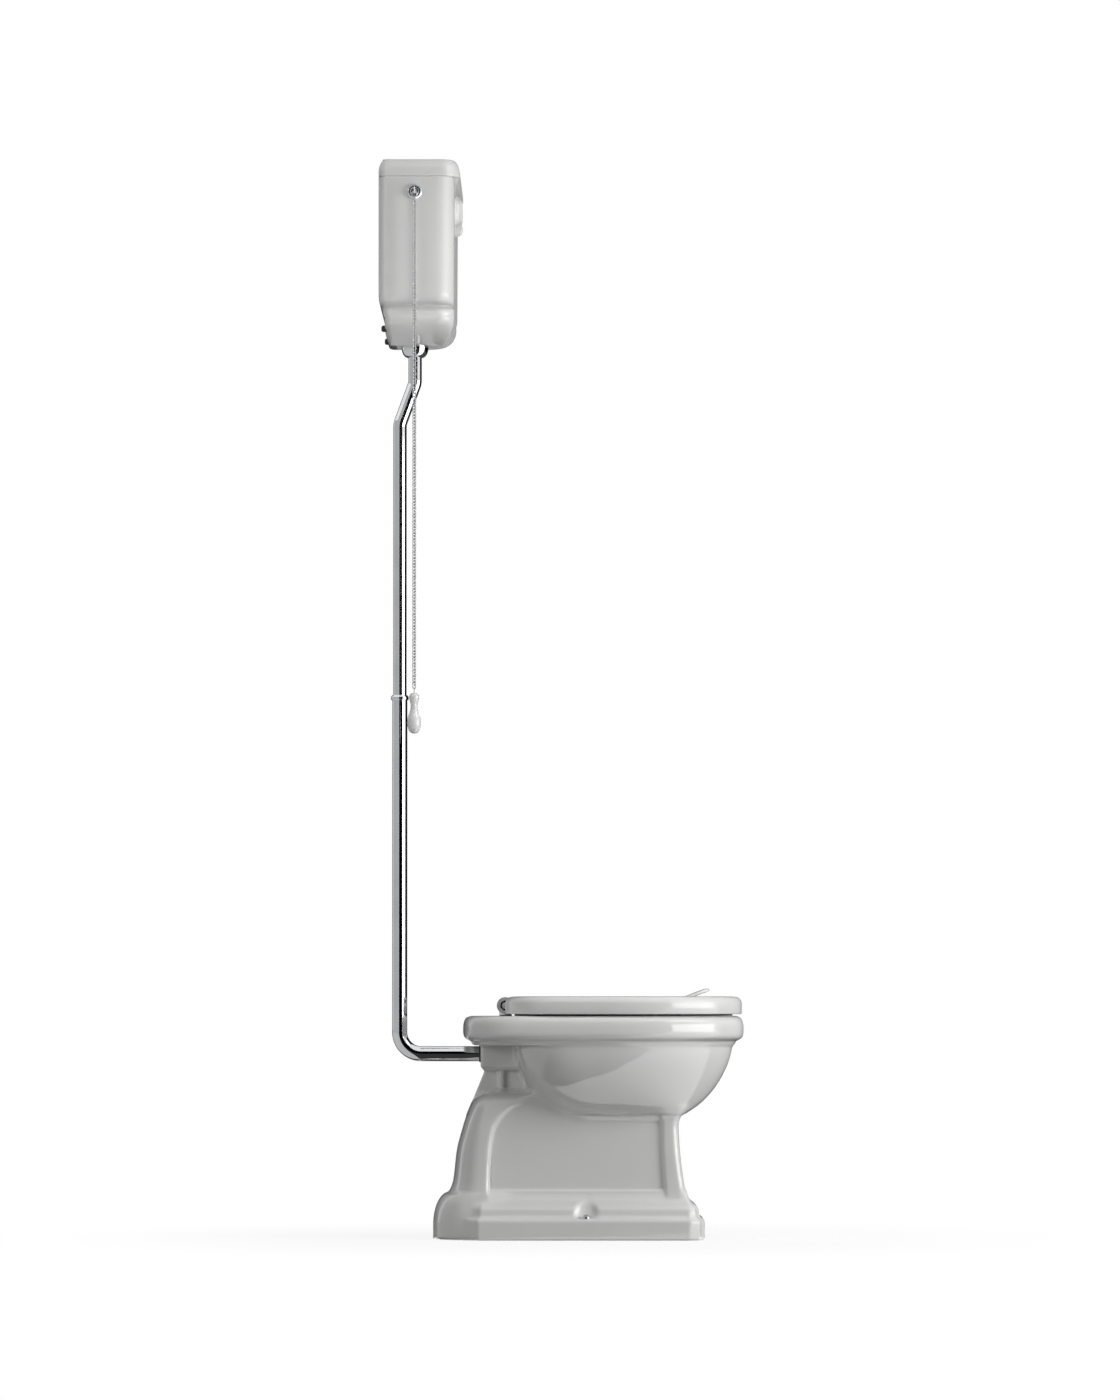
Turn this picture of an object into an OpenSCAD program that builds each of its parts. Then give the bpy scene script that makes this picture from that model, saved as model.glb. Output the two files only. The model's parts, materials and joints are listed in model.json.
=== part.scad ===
// High tank pull chain toilet. Millimetres, +X to the front, +Z up, wall plane x = 0, floor z = 0.
// The pull chain hangs on the -Y side.

/* [Pan] */
// Height of the pan's rim above the floor
rim_z = 411; // [395:1:440]
// Distance from the wall to the front of the rim
rim_front = 671; // [640:1:700]
// Distance from the wall to the rear end of the pan's deck
rim_back = 152; // [145:1:160]
// Full width of the rim
rim_w = 384; // [370:1:400]
// Height of the rim moulding, from its underside to its top
rim_h = 54; // [48:1:58]
// Width of the rim seen from above, from its edge to the bowl's opening
rim_land = 44; // [40:1:48]
// Thickness of the ceramic walls
china = 12; // [10:0.5:13]
// Depth of the bowl's round outside, from the rim's underside to the neck
bowl_h = 130; // [120:1:136]
// Distance from the wall to the rear of the bowl's outside
bowl_back = 246; // [244:1:250]
// Distance from the wall to the front of the pan's neck
neck_front = 547; // [535:1:556]
// Width across the recessed side panels of the pedestal
panel_w = 164; // [156:1:170]
// Width of the plinth
plinth_w = 244; // [236:1:260]
// Distance from the wall to the front of the plinth
plinth_front = 596; // [588:1:606]
// Distance from the wall to the rear of the plinth
plinth_back = 96; // [92:1:104]
// Height of the plinth with its mouldings
plinth_h = 82; // [78:1:88]
// Cut off the plinth's front corners
plinth_chamfer = 27; // [20:1:34]
// Distance from the wall to the floor screws
floor_screw_x = 378; // [350:1:410]
// Width between the floor screws
floor_screw_w = 222; // [218:1:226]
// Height of the ledge that the floor screws stand on
floor_screw_z = 40; // [34:1:44]
// Radius of the trap's passage
trap_r = 30; // [26:1:32]
// Inside radius of the waste outlet's sleeve
waste_r = 45; // [43:0.5:46]
// Distance from the wall to the waste outlet
waste_x = 190; // [186:1:196]
// Depth of the waste outlet's bore
waste_len = 54; // [44:1:60]

/* [Seat] */
// Distance from the wall to the front of the seat lid
lid_front = 667; // [655:1:669]
// Distance from the wall to the rear corners of the seat lid
lid_back = 227; // [224:1:230]
// Width of the seat lid
lid_w = 374; // [366:1:378]
// Height of the seat lid with its skirt
lid_h = 30; // [28:1:34]
// Gap between the rim and the lid's skirt
lid_gap = 6; // [5:0.5:8]
// Thickness of the seat lid
lid_t = 7; // [5:0.5:7]
// Gap between the seat ring and the lid's skirt
seat_gap = 5; // [4:0.5:7]
// Thickness of the seat ring
seat_t = 20; // [17:1:20]
// Height of the seat ring above the rim
seat_lift = 4; // [3:0.5:4]
// Width of the seat ring from its outer edge to its opening
seat_land = 64; // [56:1:72]
// Distance from the wall to the hinge pin
hinge_x = 230; // [229:0.5:231]
// Height of the hinge pin above the rim
hinge_rise = 19; // [18.5:0.25:19.5]
// Radius of the hinge barrels
barrel_r = 15.5; // [14:0.5:16]
// Length of each hinge barrel
barrel_l = 30; // [24:1:32]
// Distance between the two hinge posts
hinge_w = 155; // [150:1:160]
// Radius of the hinge pin
hinge_pin_r = 4; // [3:0.25:5]
// Radius of the hinge studs
stud_r = 4; // [3:0.25:5]
// Width of each hinge arm
arm_w = 9; // [7:0.5:10]
// Length of the finger tab on the lid
tab_l = 46; // [36:1:56]
// Height of the finger tab
tab_h = 12; // [8:1:12]
// Width of the finger tab
tab_w = 52; // [40:1:70]

/* [Cistern] */
// Height of the top of the cistern's lid above the floor
cistern_top = 1972; // [1900:5:2100]
// Height of the cistern's lid
clid_h = 32; // [28:1:36]
// Depth of the cistern from the wall
tank_d = 138; // [132:1:150]
// Width of the cistern
tank_w = 444; // [420:2:480]
// Height of the cistern without its lid
tank_h = 299; // [290:1:320]
// Height of the narrower lower body
lower_h = 66; // [60:1:74]
// Width of the narrower lower body
lower_w = 300; // [280:2:320]
// Thickness of the cistern's walls
tank_wall = 9; // [8:0.5:10]
// Radius of the cistern's upright front corners
tank_corner = 34; // [26:1:40]
// Overhang of the lid over the tank's front and sides
clid_over = 4; // [3:0.5:7]
// Height of the relief ornament on the front
relief_h = 82; // [70:1:90]
// Width of the relief ornament
relief_w = 150; // [120:1:180]
// Depth of the relief ornament
relief_d = 7; // [5:0.5:8]
// Width between the wall fixing holes
wall_hole_w = 330; // [300:5:360]
// Distance of the wall fixing holes below the tank's rim
wall_hole_drop = 52; // [45:1:60]
// Radius of the wall fixing holes
wall_hole_r = 4.5; // [3.5:0.25:6]
// Radius of the bumpers between the tank and the wall
bumper_r = 9; // [7:0.5:11]

/* [Flush pipe] */
// Distance from the wall to the cistern's outlet
outlet_x = 62; // [60:1:64]
// Distance from the wall to the long run of the flush pipe
pipe_x = 34; // [30:1:38]
// Radius of the upper flush pipe
upper_r = 12.5; // [11:0.25:13]
// Radius of the lower flush pipe
lower_r = 14; // [13.75:0.25:15]
// Wall of the flush pipes
pipe_wall = 1; // [0.8:0.1:1.2]
// Height of the pan's inlet above the floor
inlet_z = 341; // [338:1:344]
// Length of the pan's inlet block
inlet_l = 62; // [60:1:66]
// Radius of the bends in the upper flush pipe
bend_r = 34; // [30:1:60]
// Radius of the elbow in the lower flush pipe
elbow_r = 40; // [34:1:56]
// Height of the joint between the two flush pipes
joint_z = 1001; // [900:5:1100]
// Length of the upper pipe inside the lower one
pipe_lap = 40; // [25:1:60]

/* [Pull and valve] */
// Distance from the wall to the flush lever
lever_x = 66; // [64:0.5:68]
// Distance of the lever below the tank's rim
lever_drop = 29; // [28:0.5:31]
// Radius of the flush lever
lever_r = 2.5; // [2:0.1:2.75]
// Length of the lever from its pivot to the chain
lever_out = 42; // [41:0.5:44]
// Travel of the pull chain
pull_travel = 10; // [6:0.5:10]
// Radius of the lever's rosette
rosette_r = 14.2; // [13.5:0.1:16]
// Height of the top of the pull handle above the floor
handle_top = 997; // [900:5:1100]
// Height of the pull handle
handle_h = 74; // [60:1:90]
// Radius of the pull handle's round end
handle_r = 12.6; // [10:0.2:16]
// Radius of the pull chain
chain_r = 3; // [2.5:0.1:3.2]
// Radius of the flush valve's seat
valve_r = 25; // [23:0.5:27]
// Radius of the overflow tube
overflow_r = 13; // [11:0.5:14]
// Radius of the float ball
float_r = 34; // [28:1:35]
// Length of the float's arm
float_l = 95; // [90:1:98]
// Radius of the water inlet's threaded tail
tail_r = 10.4; // [9.5:0.1:11]
// Length of the water inlet's threaded tail below the tank
tail_l = 30; // [24:1:34]

/* [Hidden] */
$fn = 48;

seat_fit = 0.3;      // gap between pieces that rest on or beside each other
run_fit = 0.05;      // radial clearance of a pin in its bore
slip_fit = 0.2;      // radial clearance of a sleeve that doesn't move
sleeve_t = 2;        // wall of the sleeves in ceramic holes
ring_n = 36;         // points round a plan ring of the pan, seat and lid
corner_n = 6;        // steps round a cistern corner

china_colour = [0.93, 0.93, 0.92];
chrome_colour = [0.78, 0.79, 0.81];
brass_colour = [0.75, 0.6, 0.32];
rubber_colour = [0.12, 0.12, 0.13];
plastic_colour = [0.88, 0.88, 0.86];

// pan levels and half widths
rim_hw = rim_w / 2;
rim_under = rim_z - rim_h;
neck_z = rim_under - bowl_h;
bowl_front = rim_front - 22;
bowl_hw = rim_hw - 17;
panel_hw = panel_w / 2;
plinth_hw = plinth_w / 2;
rim_mid = rim_back + 0.48 * (rim_front - rim_back);
opening_back = bowl_back + 38;
column_x = waste_x - 65;           // rear of the trap column above the plinth
hump_z = rim_under - 80;           // top of the trap's hump
deck_t = 15;                       // thickness of the deck at the hinge holes
inlet_back = bowl_back - inlet_l;  // rear face of the inlet block
inlet_end = inlet_back + 26;       // end of the flush pipe inside the block
inlet_bore = lower_r + 5;
floor_hole_r = 4;
plinth_side_x = waste_x - 32;      // rear end of the plinth's straight sides
plinth_round = 22;                 // corner at that end
shoulder_hw = plinth_hw - 18;      // half width of the plinth's round rear end
waste_clear = waste_r + sleeve_t + slip_fit;
sump_z = 96;                       // lowest point of the water in the bowl

// seat levels
lid_top = rim_z + lid_gap + lid_h;
lid_hw = lid_w / 2;
skirt_z = rim_z + lid_gap;
lid_mid = rim_mid + 8;
lid_under = lid_top - lid_t;
seat_low = rim_z + seat_lift;
seat_top = seat_low + seat_t;
seat_hw = lid_hw - lid_t - seat_gap;
seat_front = lid_front - lid_t - seat_gap;
seat_back = hinge_x + barrel_r + 9;
lid_notch_x = hinge_x + barrel_r + 6;
hinge_z = rim_z + hinge_rise;
post_y = hinge_w / 2;
barrel_end = post_y + barrel_l / 2;
barrel_start = post_y - barrel_l / 2;
lug_r = hinge_pin_r + 5;
pin_end = barrel_end + seat_fit + arm_w + seat_fit;
notch_hw = pin_end + 5;
tab_x = lid_front - 106;
buffer_x = [seat_back + 34, lid_front - 118];
buffer_hw = [seat_hw - 26, seat_hw - 44];

// cistern levels
tank_top = cistern_top - clid_h;
tank_z = tank_top - tank_h;
shoulder_z = tank_z + lower_h;
tank_hw = tank_w / 2;
lower_hw = lower_w / 2;
outlet_z = tank_z + 8;             // underside of the tank round its outlet
floor_z = outlet_z + tank_wall;    // inside of the tank's bottom
clid_hw = tank_hw + clid_over;
clid_d = tank_d + clid_over + 6;

// flush pipe
bend_top_z = tank_z - 58;
bend_low_z = bend_top_z - 76;
bend_a = atan((outlet_x - pipe_x) / (bend_top_z - bend_low_z));
nut_r = 20;
tail_bore = upper_r + slip_fit;
valve_tail_r = tail_bore + 3;
dome_r = 25;
dome_h = 19;

// pull and valve
lever_z = tank_top - lever_drop;
pivot_y = -(tank_hw - tank_wall - 10);
link_y = -16;
lever_in = link_y - pivot_y;
lever_sag = 31;                    // drop of the lever's inner end
lever_a = pull_travel / lever_out; // rocking of the lever, radians
hook_y = pivot_y - lever_out * (1 + cos(lever_a * 180 / PI)) / 2;
eye_r = 5.5;
eye_wire = 1.5;
hook_wire = 1.2;
hook_r = 4.5;
hook_top = lever_z - (eye_r - eye_wire - hook_wire - seat_fit - 0.1);
chain_top = hook_top - 2 * hook_r - hook_wire - 0.1;
eye_h = 6.5;
chain_low = handle_top + eye_h + 0.1;
bush_bore = lever_r + (abs(hook_y) - 16 - abs(pivot_y)) * tan(lever_a * 180 / PI) + 0.5;
bush_r = bush_bore + 1.8;
bush_out = 5.5;                    // height of the rosette
pivot_r = 1.5;
valve_top = floor_z + 20;
stem_r = 4;
stem_top = lever_z - lever_sag - 28;
overflow_y = -45;
overflow_top = lever_z - lever_sag - 12;
guide_z = valve_top + 110;
fill_x = 70;
fill_y = lower_hw + 22;
fill_floor = shoulder_z + tank_wall;
shank_r = tail_r + 0.2;            // the tail where its locknut and the tank sit on it
fill_nut_r = tail_r + 4.1;
float_pivot_y = fill_y - 23;
float_pivot_z = tank_top - 38;
float_rest = 35;                   // angle of the float's arm below level when the tank is empty
arm_t = 9;

// ---- shared shapes ----

// Joins rings of points, all with the same count, into one closed solid
module loft(rings, loop = false) {
  n = len(rings[0]);
  m = len(rings);
  last = loop ? m - 1 : m - 2;
  sides = [for (k = [0:last], i = [0:n - 1]) let (a = k * n + i, b = k * n + (i + 1) % n,
      c = ((k + 1) % m) * n + i, d = ((k + 1) % m) * n + (i + 1) % n)
      each [[a, c, d], [a, d, b]]];
  ends = loop ? [] : [[for (i = [0:n - 1]) i], [for (i = [n - 1:-1:0]) (m - 1) * n + i]];
  polyhedron(points = [for (r = rings) each r], faces = concat(sides, ends), convexity = 8);
}

// Plan ring with a round front and a squarer rear, widest at x = mid
function d_ring(back, front, hw, z, mid, n_back = 4.5, n_front = 2.15) =
  [for (i = [0:ring_n - 1]) let (a = 360 * (i + 0.5) / ring_n, c = cos(a), s = sin(a),
      n = c > 0 ? n_front : n_back, rx = c > 0 ? front - mid : mid - back)
    [mid + sign(c) * rx * pow(abs(c), 2 / n), sign(s) * hw * pow(abs(s), 2 / n), z]];

// Plan ring of a box with round upright corners, rb at the rear and rf at the front
function box_ring(x0, x1, hw, rb, rf, z) =
  let (corners = [[x1 - rf, rf - hw, rf, -90], [x1 - rf, hw - rf, rf, 0],
                  [x0 + rb, hw - rb, rb, 90], [x0 + rb, rb - hw, rb, 180]])
  [for (c = corners, k = [0:corner_n]) let (a = c[3] + 90 * k / corner_n)
    [c[0] + c[2] * cos(a), c[1] + c[2] * sin(a), z]];

// Rings of a round tube along a path in the plane y = 0, given as [x, z] points
function sweep_rings(path, r, n) = let (last = len(path) - 1) [for (i = [0:last])
  let (d = path[min(i + 1, last)] - path[max(i - 1, 0)], u = d / norm(d))
  [for (k = [0:n - 1]) let (a = 360 * k / n)
    [path[i][0] + r * cos(a) * u[1], r * sin(a), path[i][1] - r * cos(a) * u[0]]]];

function reversed(v) = [for (i = [len(v) - 1:-1:0]) v[i]];

// Evaluates its children as one mesh
module as_mesh() resize([0, 0, 0]) children();

module tube(h, r_out, r_in) difference() {
  cylinder(h = h, r = r_out);
  translate([0, 0, -1]) cylinder(h = h + 2, r = r_in);
}

module along_y(x, y, z) translate([x, y, z]) rotate([-90, 0, 0]) children();
module along_x(x, y, z) translate([x, y, z]) rotate([0, 90, 0]) children();
module both_sides() { children(); mirror([0, 1, 0]) children(); }

// Wire ring about the X axis, or about Y when across
module wire_ring(x, y, z, r, wire, across = false)
  translate([x, y, z]) rotate(across ? [90, 0, 0] : [0, 90, 0])
    rotate_extrude($fn = 32) translate([r, 0]) circle(r = wire, $fn = 16);

// Point on a smooth curve through a list of values, t from 0 to its last index
function smooth(v, t) =
  let (n = len(v) - 1, i = min(floor(t), n - 1), f = t - i,
       a = v[max(i - 1, 0)], b = v[i], c = v[i + 1], d = v[min(i + 2, n)])
  b + 0.5 * f * (c - a + f * (2 * a - 5 * b + 4 * c - d + f * (3 * (b - c) + d - a)));

// ---- pan ----

// Fullness of the bowl's outside, 1 at the rim's underside and 0 at the neck
function bulge(t) = pow(1 - pow(t, 1.6), 1 / 1.6);

function bowl_ring(t, e = 0) = let (b = bulge(t))
  d_ring(bowl_back + 26 * (1 - b) - e, neck_front + (bowl_front - neck_front) * b + e,
         panel_hw + 4 + (bowl_hw - panel_hw - 4) * b + e, rim_under - t * bowl_h + 1,
         rim_mid, 5);

module bowl_outside() loft([
  d_ring(bowl_back + 30, neck_front - 4, panel_hw, neck_z - 8, rim_mid, 5),
  for (t = [1, 0.985, 0.95, 0.9, 0.82, 0.72, 0.6, 0.45, 0.3, 0.15, 0]) bowl_ring(t)]);

// The rim's moulding: [height as a share of rim_h, inset]
rim_profile = [[0, 20], [0.04, 16], [0.12, 15], [0.16, 11], [0.24, 4], [0.34, 0.8], [0.46, 0],
               [0.62, 0], [0.78, 1.2], [0.9, 4], [0.97, 8], [1, 13]];

module rim() loft([for (p = rim_profile)
  d_ring(rim_back + p[1], rim_front - p[1], rim_hw - p[1], rim_under + p[0] * rim_h, rim_mid)]);

// The space inside the bowl, grown by e
module bowl_space(e) {
  land_back = opening_back;
  land_front = rim_front - rim_land;
  land_hw = rim_hw - rim_land;
  // share of the way from the neck to the sump's floor, length and half width as shares of the top's
  sump = [[0.1, 1, 0.88], [0.32, 0.7, 0.68], [0.55, 0.52, 0.57], [0.8, 0.44, 0.51],
          [0.95, 0.37, 0.41], [1, 0.24, 0.24]];
  sump_h = neck_z - sump_z;
  sump_back = bowl_back + 42;
  sump_l = neck_front - sump_back - 4 * china;
  loft([
    for (i = [len(sump) - 1:-1:0]) let (s = sump[i], back = sump_back + 18 * s[0] + 70 * pow(s[0], 12) * s[1])
      d_ring(back - e, back + s[1] * sump_l + e, s[2] * panel_hw + e, neck_z - s[0] * sump_h - e,
             back + s[1] * sump_l / 2, 2.3),
    for (t = [0.93, 0.85, 0.72, 0.55, 0.35, 0.1]) let (b = bulge(t))
      d_ring(bowl_back + 26 * (1 - b) + china - e,
             neck_front + (bowl_front - neck_front) * b - china - 6 * t + e,
             panel_hw + (bowl_hw - panel_hw) * b - china + e, rim_under - t * bowl_h - e / 2,
             rim_mid, 4),
    d_ring(bowl_back + china + 6 - e, bowl_front - china - 2 + e, bowl_hw - china + e,
           rim_under + 12, rim_mid, 4),
    d_ring(land_back - 4 - e, land_front + 4 + e, land_hw + 4 + e, rim_under + 17, rim_mid, 3.4),
    d_ring(land_back - e, land_front + e, land_hw + e, rim_under + 20, rim_mid, 3.4),
    d_ring(land_back - e, land_front + e, land_hw + e, rim_z - 9, rim_mid, 3.4),
    d_ring(land_back - 2 - e, land_front + 2 + e, land_hw + 2 + e, rim_z - 3, rim_mid, 3.4),
    d_ring(land_back - 7 - e, land_front + 7 + e, land_hw + 7 + e, rim_z + 1, rim_mid, 3.4)]);
}

// The trap's centre line, from the sump over the weir to the waste outlet
trap_bend = trap_r + 9;
trap_low = [bowl_back + 66, sump_z + trap_r + 1 + trap_bend];
trap_crest = [waste_x + trap_bend, hump_z - china - trap_r - trap_bend - 14];
trap_path = concat([trap_low + [trap_bend, -trap_bend]],
  [for (a = [-90:-17.5:-160]) trap_low + trap_bend * [cos(a), sin(a)]],
  [for (a = [20:20:180]) trap_crest + trap_bend * [cos(a), sin(a)]],
  [[waste_x, waste_len - 6]]);

// Flare of the pedestal from the neck (s = 1) down to the plinth (s = 0)
function flare(s) = pow(1 - s, 2);
function ped_z(s) = plinth_h + s * (neck_z + 6 - plinth_h);

module pedestal_core() {
  loft([for (s = [-0.5, 0, 0.15, 0.35, 0.6, 0.85, 1]) let (f = flare(max(s, 0)))
    box_ring(waste_x + 10, neck_front + 14 * f, panel_hw + 4 * f, 10, 14, ped_z(s))]);
  // the panels run on up to the bowl behind the neck
  loft([for (p = [[-12, 0], [4, 0], [20, 20], [36, 58]])
    box_ring(waste_x + 14 + p[1], neck_front - 60, panel_hw - 0.5, 10, 14, neck_z + p[0])]);
}

// Raised pilaster at the front of each side panel
module pilaster() loft([for (s = [-0.5, 0, 0.15, 0.35, 0.6, 0.85, 1]) let (f = flare(max(s, 0)))
  box_ring(neck_front - 30 + 8 * f, neck_front + 15 * f, panel_hw + 6 + 5 * f, 5, 13, ped_z(s))]);

// Column behind the panels, which leans over into the bowl as the hump of the trap.
// Levels from the plinth's top to the hump's: [share of the height, rear, front, half width]
column_levels = [[-0.2, -4, 0, 16], [0, 0, 0, 14], [0.13, 8, 1, 11], [0.42, 15, 9, 9], [0.65, 26, 22, 8],
                 [0.79, 35, 45, 4], [0.865, 42, 68, -4], [0.92, 52, 92, -16], [0.96, 63, 92, -32],
                 [0.988, 76, 86, -50], [1, 90, 66, -68]];

module trap_column() loft([for (p = column_levels)
  d_ring(column_x + p[1], waste_x + 12 + p[2], panel_hw + p[3], plinth_h + p[0] * (hump_z - plinth_h),
         waste_x + 2 + p[2] / 6, 2.5, 4.5)]);

// The plinth's moulding: [height, inset]
plinth_profile = [[0, 1.5], [1.5, 0], [floor_screw_z - 6, 0], [floor_screw_z - 2, 1.5],
                  [floor_screw_z, 5], [floor_screw_z + 4, 9], [floor_screw_z + 16, 11],
                  [floor_screw_z + 22, 15], [plinth_h - 12, 24], [plinth_h - 5, 29], [plinth_h, 31],
                  [plinth_h + 4, 33]];

function plinth_ring(inset, z, extra = 0) =
  let (x0 = plinth_side_x + inset, x1 = plinth_front - inset, hw = plinth_hw - inset - extra,
       c = plinth_chamfer * 0.7, r = plinth_round)
  [[x0, -hw + r, z], [x0 + r, -hw, z], [x1 - plinth_chamfer, -hw, z], [x1 - c * 0.5, -hw + c * 0.4, z],
   [x1 - c * 0.3, -hw + c, z], [x1, -hw + plinth_chamfer, z], [x1, hw - plinth_chamfer, z],
   [x1 - c * 0.3, hw - c, z], [x1 - c * 0.5, hw - c * 0.4, z], [x1 - plinth_chamfer, hw, z],
   [x0 + r, hw, z], [x0, hw - r, z]];

module plinth() {
  loft([for (p = plinth_profile) plinth_ring(p[1], p[0])]);
  // round rear end, with a full shoulder up to the column
  front = waste_x + 110;
  loft([for (p = [[0, 1.5], [1.5, 0], [26, 0]])
          d_ring(plinth_back + p[1], front, shoulder_hw - p[1], p[0], waste_x, 2.6),
        for (a = [15:15:75]) d_ring(plinth_back + 30 * (1 - cos(a)), front, shoulder_hw - 14 * (1 - cos(a)),
          26 + (plinth_h - 22) * sin(a), waste_x, 2.6)]);
}

// Hollow below the pan, kept clear of the bowl, the trap and the floor screws
module base_hollow() difference() {
  union() {
    loft([for (p = [[-1, 0], [floor_screw_z - 8, 0], [plinth_h - 8, 34], [plinth_h + 4, 44]])
      box_ring(plinth_side_x + china + 4 + p[1] / 2, plinth_front - china - 6 - p[1],
               plinth_hw - china - p[1], 20, 24, p[0])]);
    loft([for (s = [-0.3, 0.1, 0.5, 0.95]) let (f = flare(max(s, 0)))
      box_ring(waste_x - 18, neck_front + 14 * f - china - 1, panel_hw + 4 * f - china, 40, 9, ped_z(s))]);
  }
  bowl_space(china);
  rotate([90, 0, 0]) linear_extrude(2 * (trap_r + china), center = true)
    offset(r = trap_r + china, $fn = 24) polygon(trap_path);
  translate([waste_x, 0, -3]) cylinder(h = waste_len + 26, r = waste_r + sleeve_t + 8);
  both_sides() translate([floor_screw_x, floor_screw_w / 2, -3]) cylinder(h = plinth_h, r = 15, $fn = 24);
}

// Block that takes the flush pipe, and the web below it
module inlet_block() {
  x0 = inlet_back;
  hull() {
    translate([x0 + 3, -26, inlet_z - 30]) cube([inlet_l + 20, 52, 62]);
    translate([x0, -30, inlet_z - 26]) cube([inlet_l + 20, 60, 58]);
  }
  rotate([90, 0, 0]) linear_extrude(9, center = true)
    polygon([[x0 + 4, inlet_z - 28], [column_x + 30, hump_z - 44], [bowl_back + 24, hump_z - 44],
             [bowl_back + 10, inlet_z - 28]]);
  translate([waste_x + 27, -18, hump_z - 30]) cube([10, 36, inlet_z - hump_z + 10]);
}

// Scoop in the mouldings above each floor screw
module screw_scoop() translate([floor_screw_x, floor_screw_w / 2, floor_screw_z]) {
  cylinder(h = 1.5, r = 13);
  hull() {
    translate([0, 0, 1]) cylinder(h = 12, r = 13);
    translate([0, -18, 46]) sphere(r = 2, $fn = 12);
  }
}

// Pocket below the deck for each hinge nut
module hinge_pocket() translate([hinge_x - 22, post_y - 24, rim_under - 1])
  cube([bowl_back - hinge_x + 20, 48, rim_h - deck_t + 1]);

module pan() color(china_colour) as_mesh() {
  difference() {
    union() {
      rim();
      bowl_outside();
      pedestal_core();
      pilaster();
      trap_column();
      plinth();
      inlet_block();
    }
    base_hollow();
    bowl_space(0);
    loft(sweep_rings(trap_path, trap_r, 14));
    both_sides() screw_scoop();
    both_sides() hinge_pocket();
    // flush inlet, hinge holes and floor screw holes
    along_x(inlet_back - 1, 0, inlet_z) cylinder(h = inlet_end - inlet_back + 5, r = inlet_bore);
    along_x(inlet_back, 0, inlet_z) cylinder(h = inlet_l + china + 12, r = lower_r + 1);
    both_sides() translate([hinge_x, post_y, rim_z - rim_h]) cylinder(h = rim_h + 1, r = stud_r + 2, $fn = 20);
    both_sides() translate([floor_screw_x, floor_screw_w / 2, -1])
      cylinder(h = floor_screw_z + 2, r = floor_hole_r, $fn = 20);
    translate([waste_x, 0, -1]) cylinder(h = waste_len + 1, r = waste_clear);
  }
}

// Sleeve in the waste outlet, which the soil pipe goes into
module waste_sleeve() color(rubber_colour) translate([waste_x, 0, 2])
  tube(waste_len - 4, waste_r + sleeve_t, waste_r);

module floor_screws() color(chrome_colour) both_sides()
  translate([floor_screw_x, floor_screw_w / 2, 0]) {
    translate([0, 0, 1]) cylinder(h = floor_screw_z, r = floor_hole_r - slip_fit);
    translate([0, 0, floor_screw_z + seat_fit]) cylinder(h = 3, r = 6.5);
  }

module floor_screw_caps() color(chrome_colour) both_sides()
  translate([floor_screw_x, floor_screw_w / 2, floor_screw_z + seat_fit]) difference() {
    union() {
      cylinder(h = 3, r = 8.5);
      translate([0, 0, 3]) scale_dome(8.5, 4.5);
    }
    translate([0, 0, -1]) cylinder(h = 4 + slip_fit, r = 6.5 + slip_fit);
  }

// Low dome, part of a sphere, of base radius r and height h
module scale_dome(r, h) let (big = (r * r + h * h) / (2 * h)) intersection() {
  translate([0, 0, h - big]) sphere(r = big, $fn = 64);
  cylinder(h = h + 1, r = r);
}

// ---- seat ----

module seat_ring() color(china_colour) {
  // [inset from the outer edge as a share of the land, height as a share of the thickness]
  section = [[0.04, 0.04], [0, 0.3], [0, 0.62], [0.05, 0.86], [0.16, 0.98], [0.4, 1], [0.72, 0.93],
             [0.92, 0.76], [1, 0.5], [0.98, 0.2], [0.9, 0.02], [0.5, 0]];
  as_mesh() loft([for (p = section) let (inset = p[0] * seat_land)
    d_ring(seat_back + inset * 0.75, seat_front - inset, seat_hw - inset,
           seat_low + p[1] * seat_t, lid_mid, 4.5)], loop = true);
}

function lid_ring(inset, z) = d_ring(lid_back + inset, lid_front - inset, lid_hw - inset, z, lid_mid, 5);

module seat_lid() color(china_colour) as_mesh() union() {
  difference() {
    loft([
      lid_ring(lid_t + 8, lid_under), lid_ring(lid_t + 2, lid_under - 2), lid_ring(lid_t, lid_under - 7),
      lid_ring(lid_t, skirt_z + 2), lid_ring(lid_t - 1, skirt_z), lid_ring(1.5, skirt_z), lid_ring(0, skirt_z + 2),
      lid_ring(0, lid_top - 14), lid_ring(0.8, lid_top - 8), lid_ring(3, lid_top - 4),
      lid_ring(7, lid_top - 1.4), lid_ring(12, lid_top - 0.3), lid_ring(20, lid_top)]);
    translate([0, -notch_hw, 0]) cube([lid_notch_x, 2 * notch_hw, lid_top + 10]);
  }
  // finger tab
  rotate([90, 0, 0]) linear_extrude(tab_w, center = true)
    polygon([[tab_x, lid_top - 1], [tab_x + 0.55 * tab_l, lid_top + 0.35 * tab_h],
             [tab_x + 0.92 * tab_l, lid_top + 0.95 * tab_h], [tab_x + tab_l, lid_top + tab_h],
             [tab_x + 1.06 * tab_l, lid_top + 0.75 * tab_h], [tab_x + 1.02 * tab_l, lid_top + 0.4 * tab_h],
             [tab_x + 0.9 * tab_l, lid_top - 1]]);
}

// Lug round the hinge pin with a strap that runs forward to x_end, between y0 and y0 + arm_w
module hinge_arm(y0, x_end, z_low, t) difference() {
  union() {
    along_y(hinge_x, y0, hinge_z) cylinder(h = arm_w, r = lug_r);
    translate([hinge_x, y0, z_low]) cube([x_end - hinge_x, arm_w, t]);
  }
  along_y(hinge_x, y0 - 1, hinge_z) cylinder(h = arm_w + 2, r = hinge_pin_r + run_fit);
}

// The seat's arms lie inside the barrels, and end in the ring's rear bar
module seat_hinge_arms() color(chrome_colour) both_sides()
  hinge_arm(barrel_start - seat_fit - arm_w, seat_back - seat_fit, seat_low + 5, 9);

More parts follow.
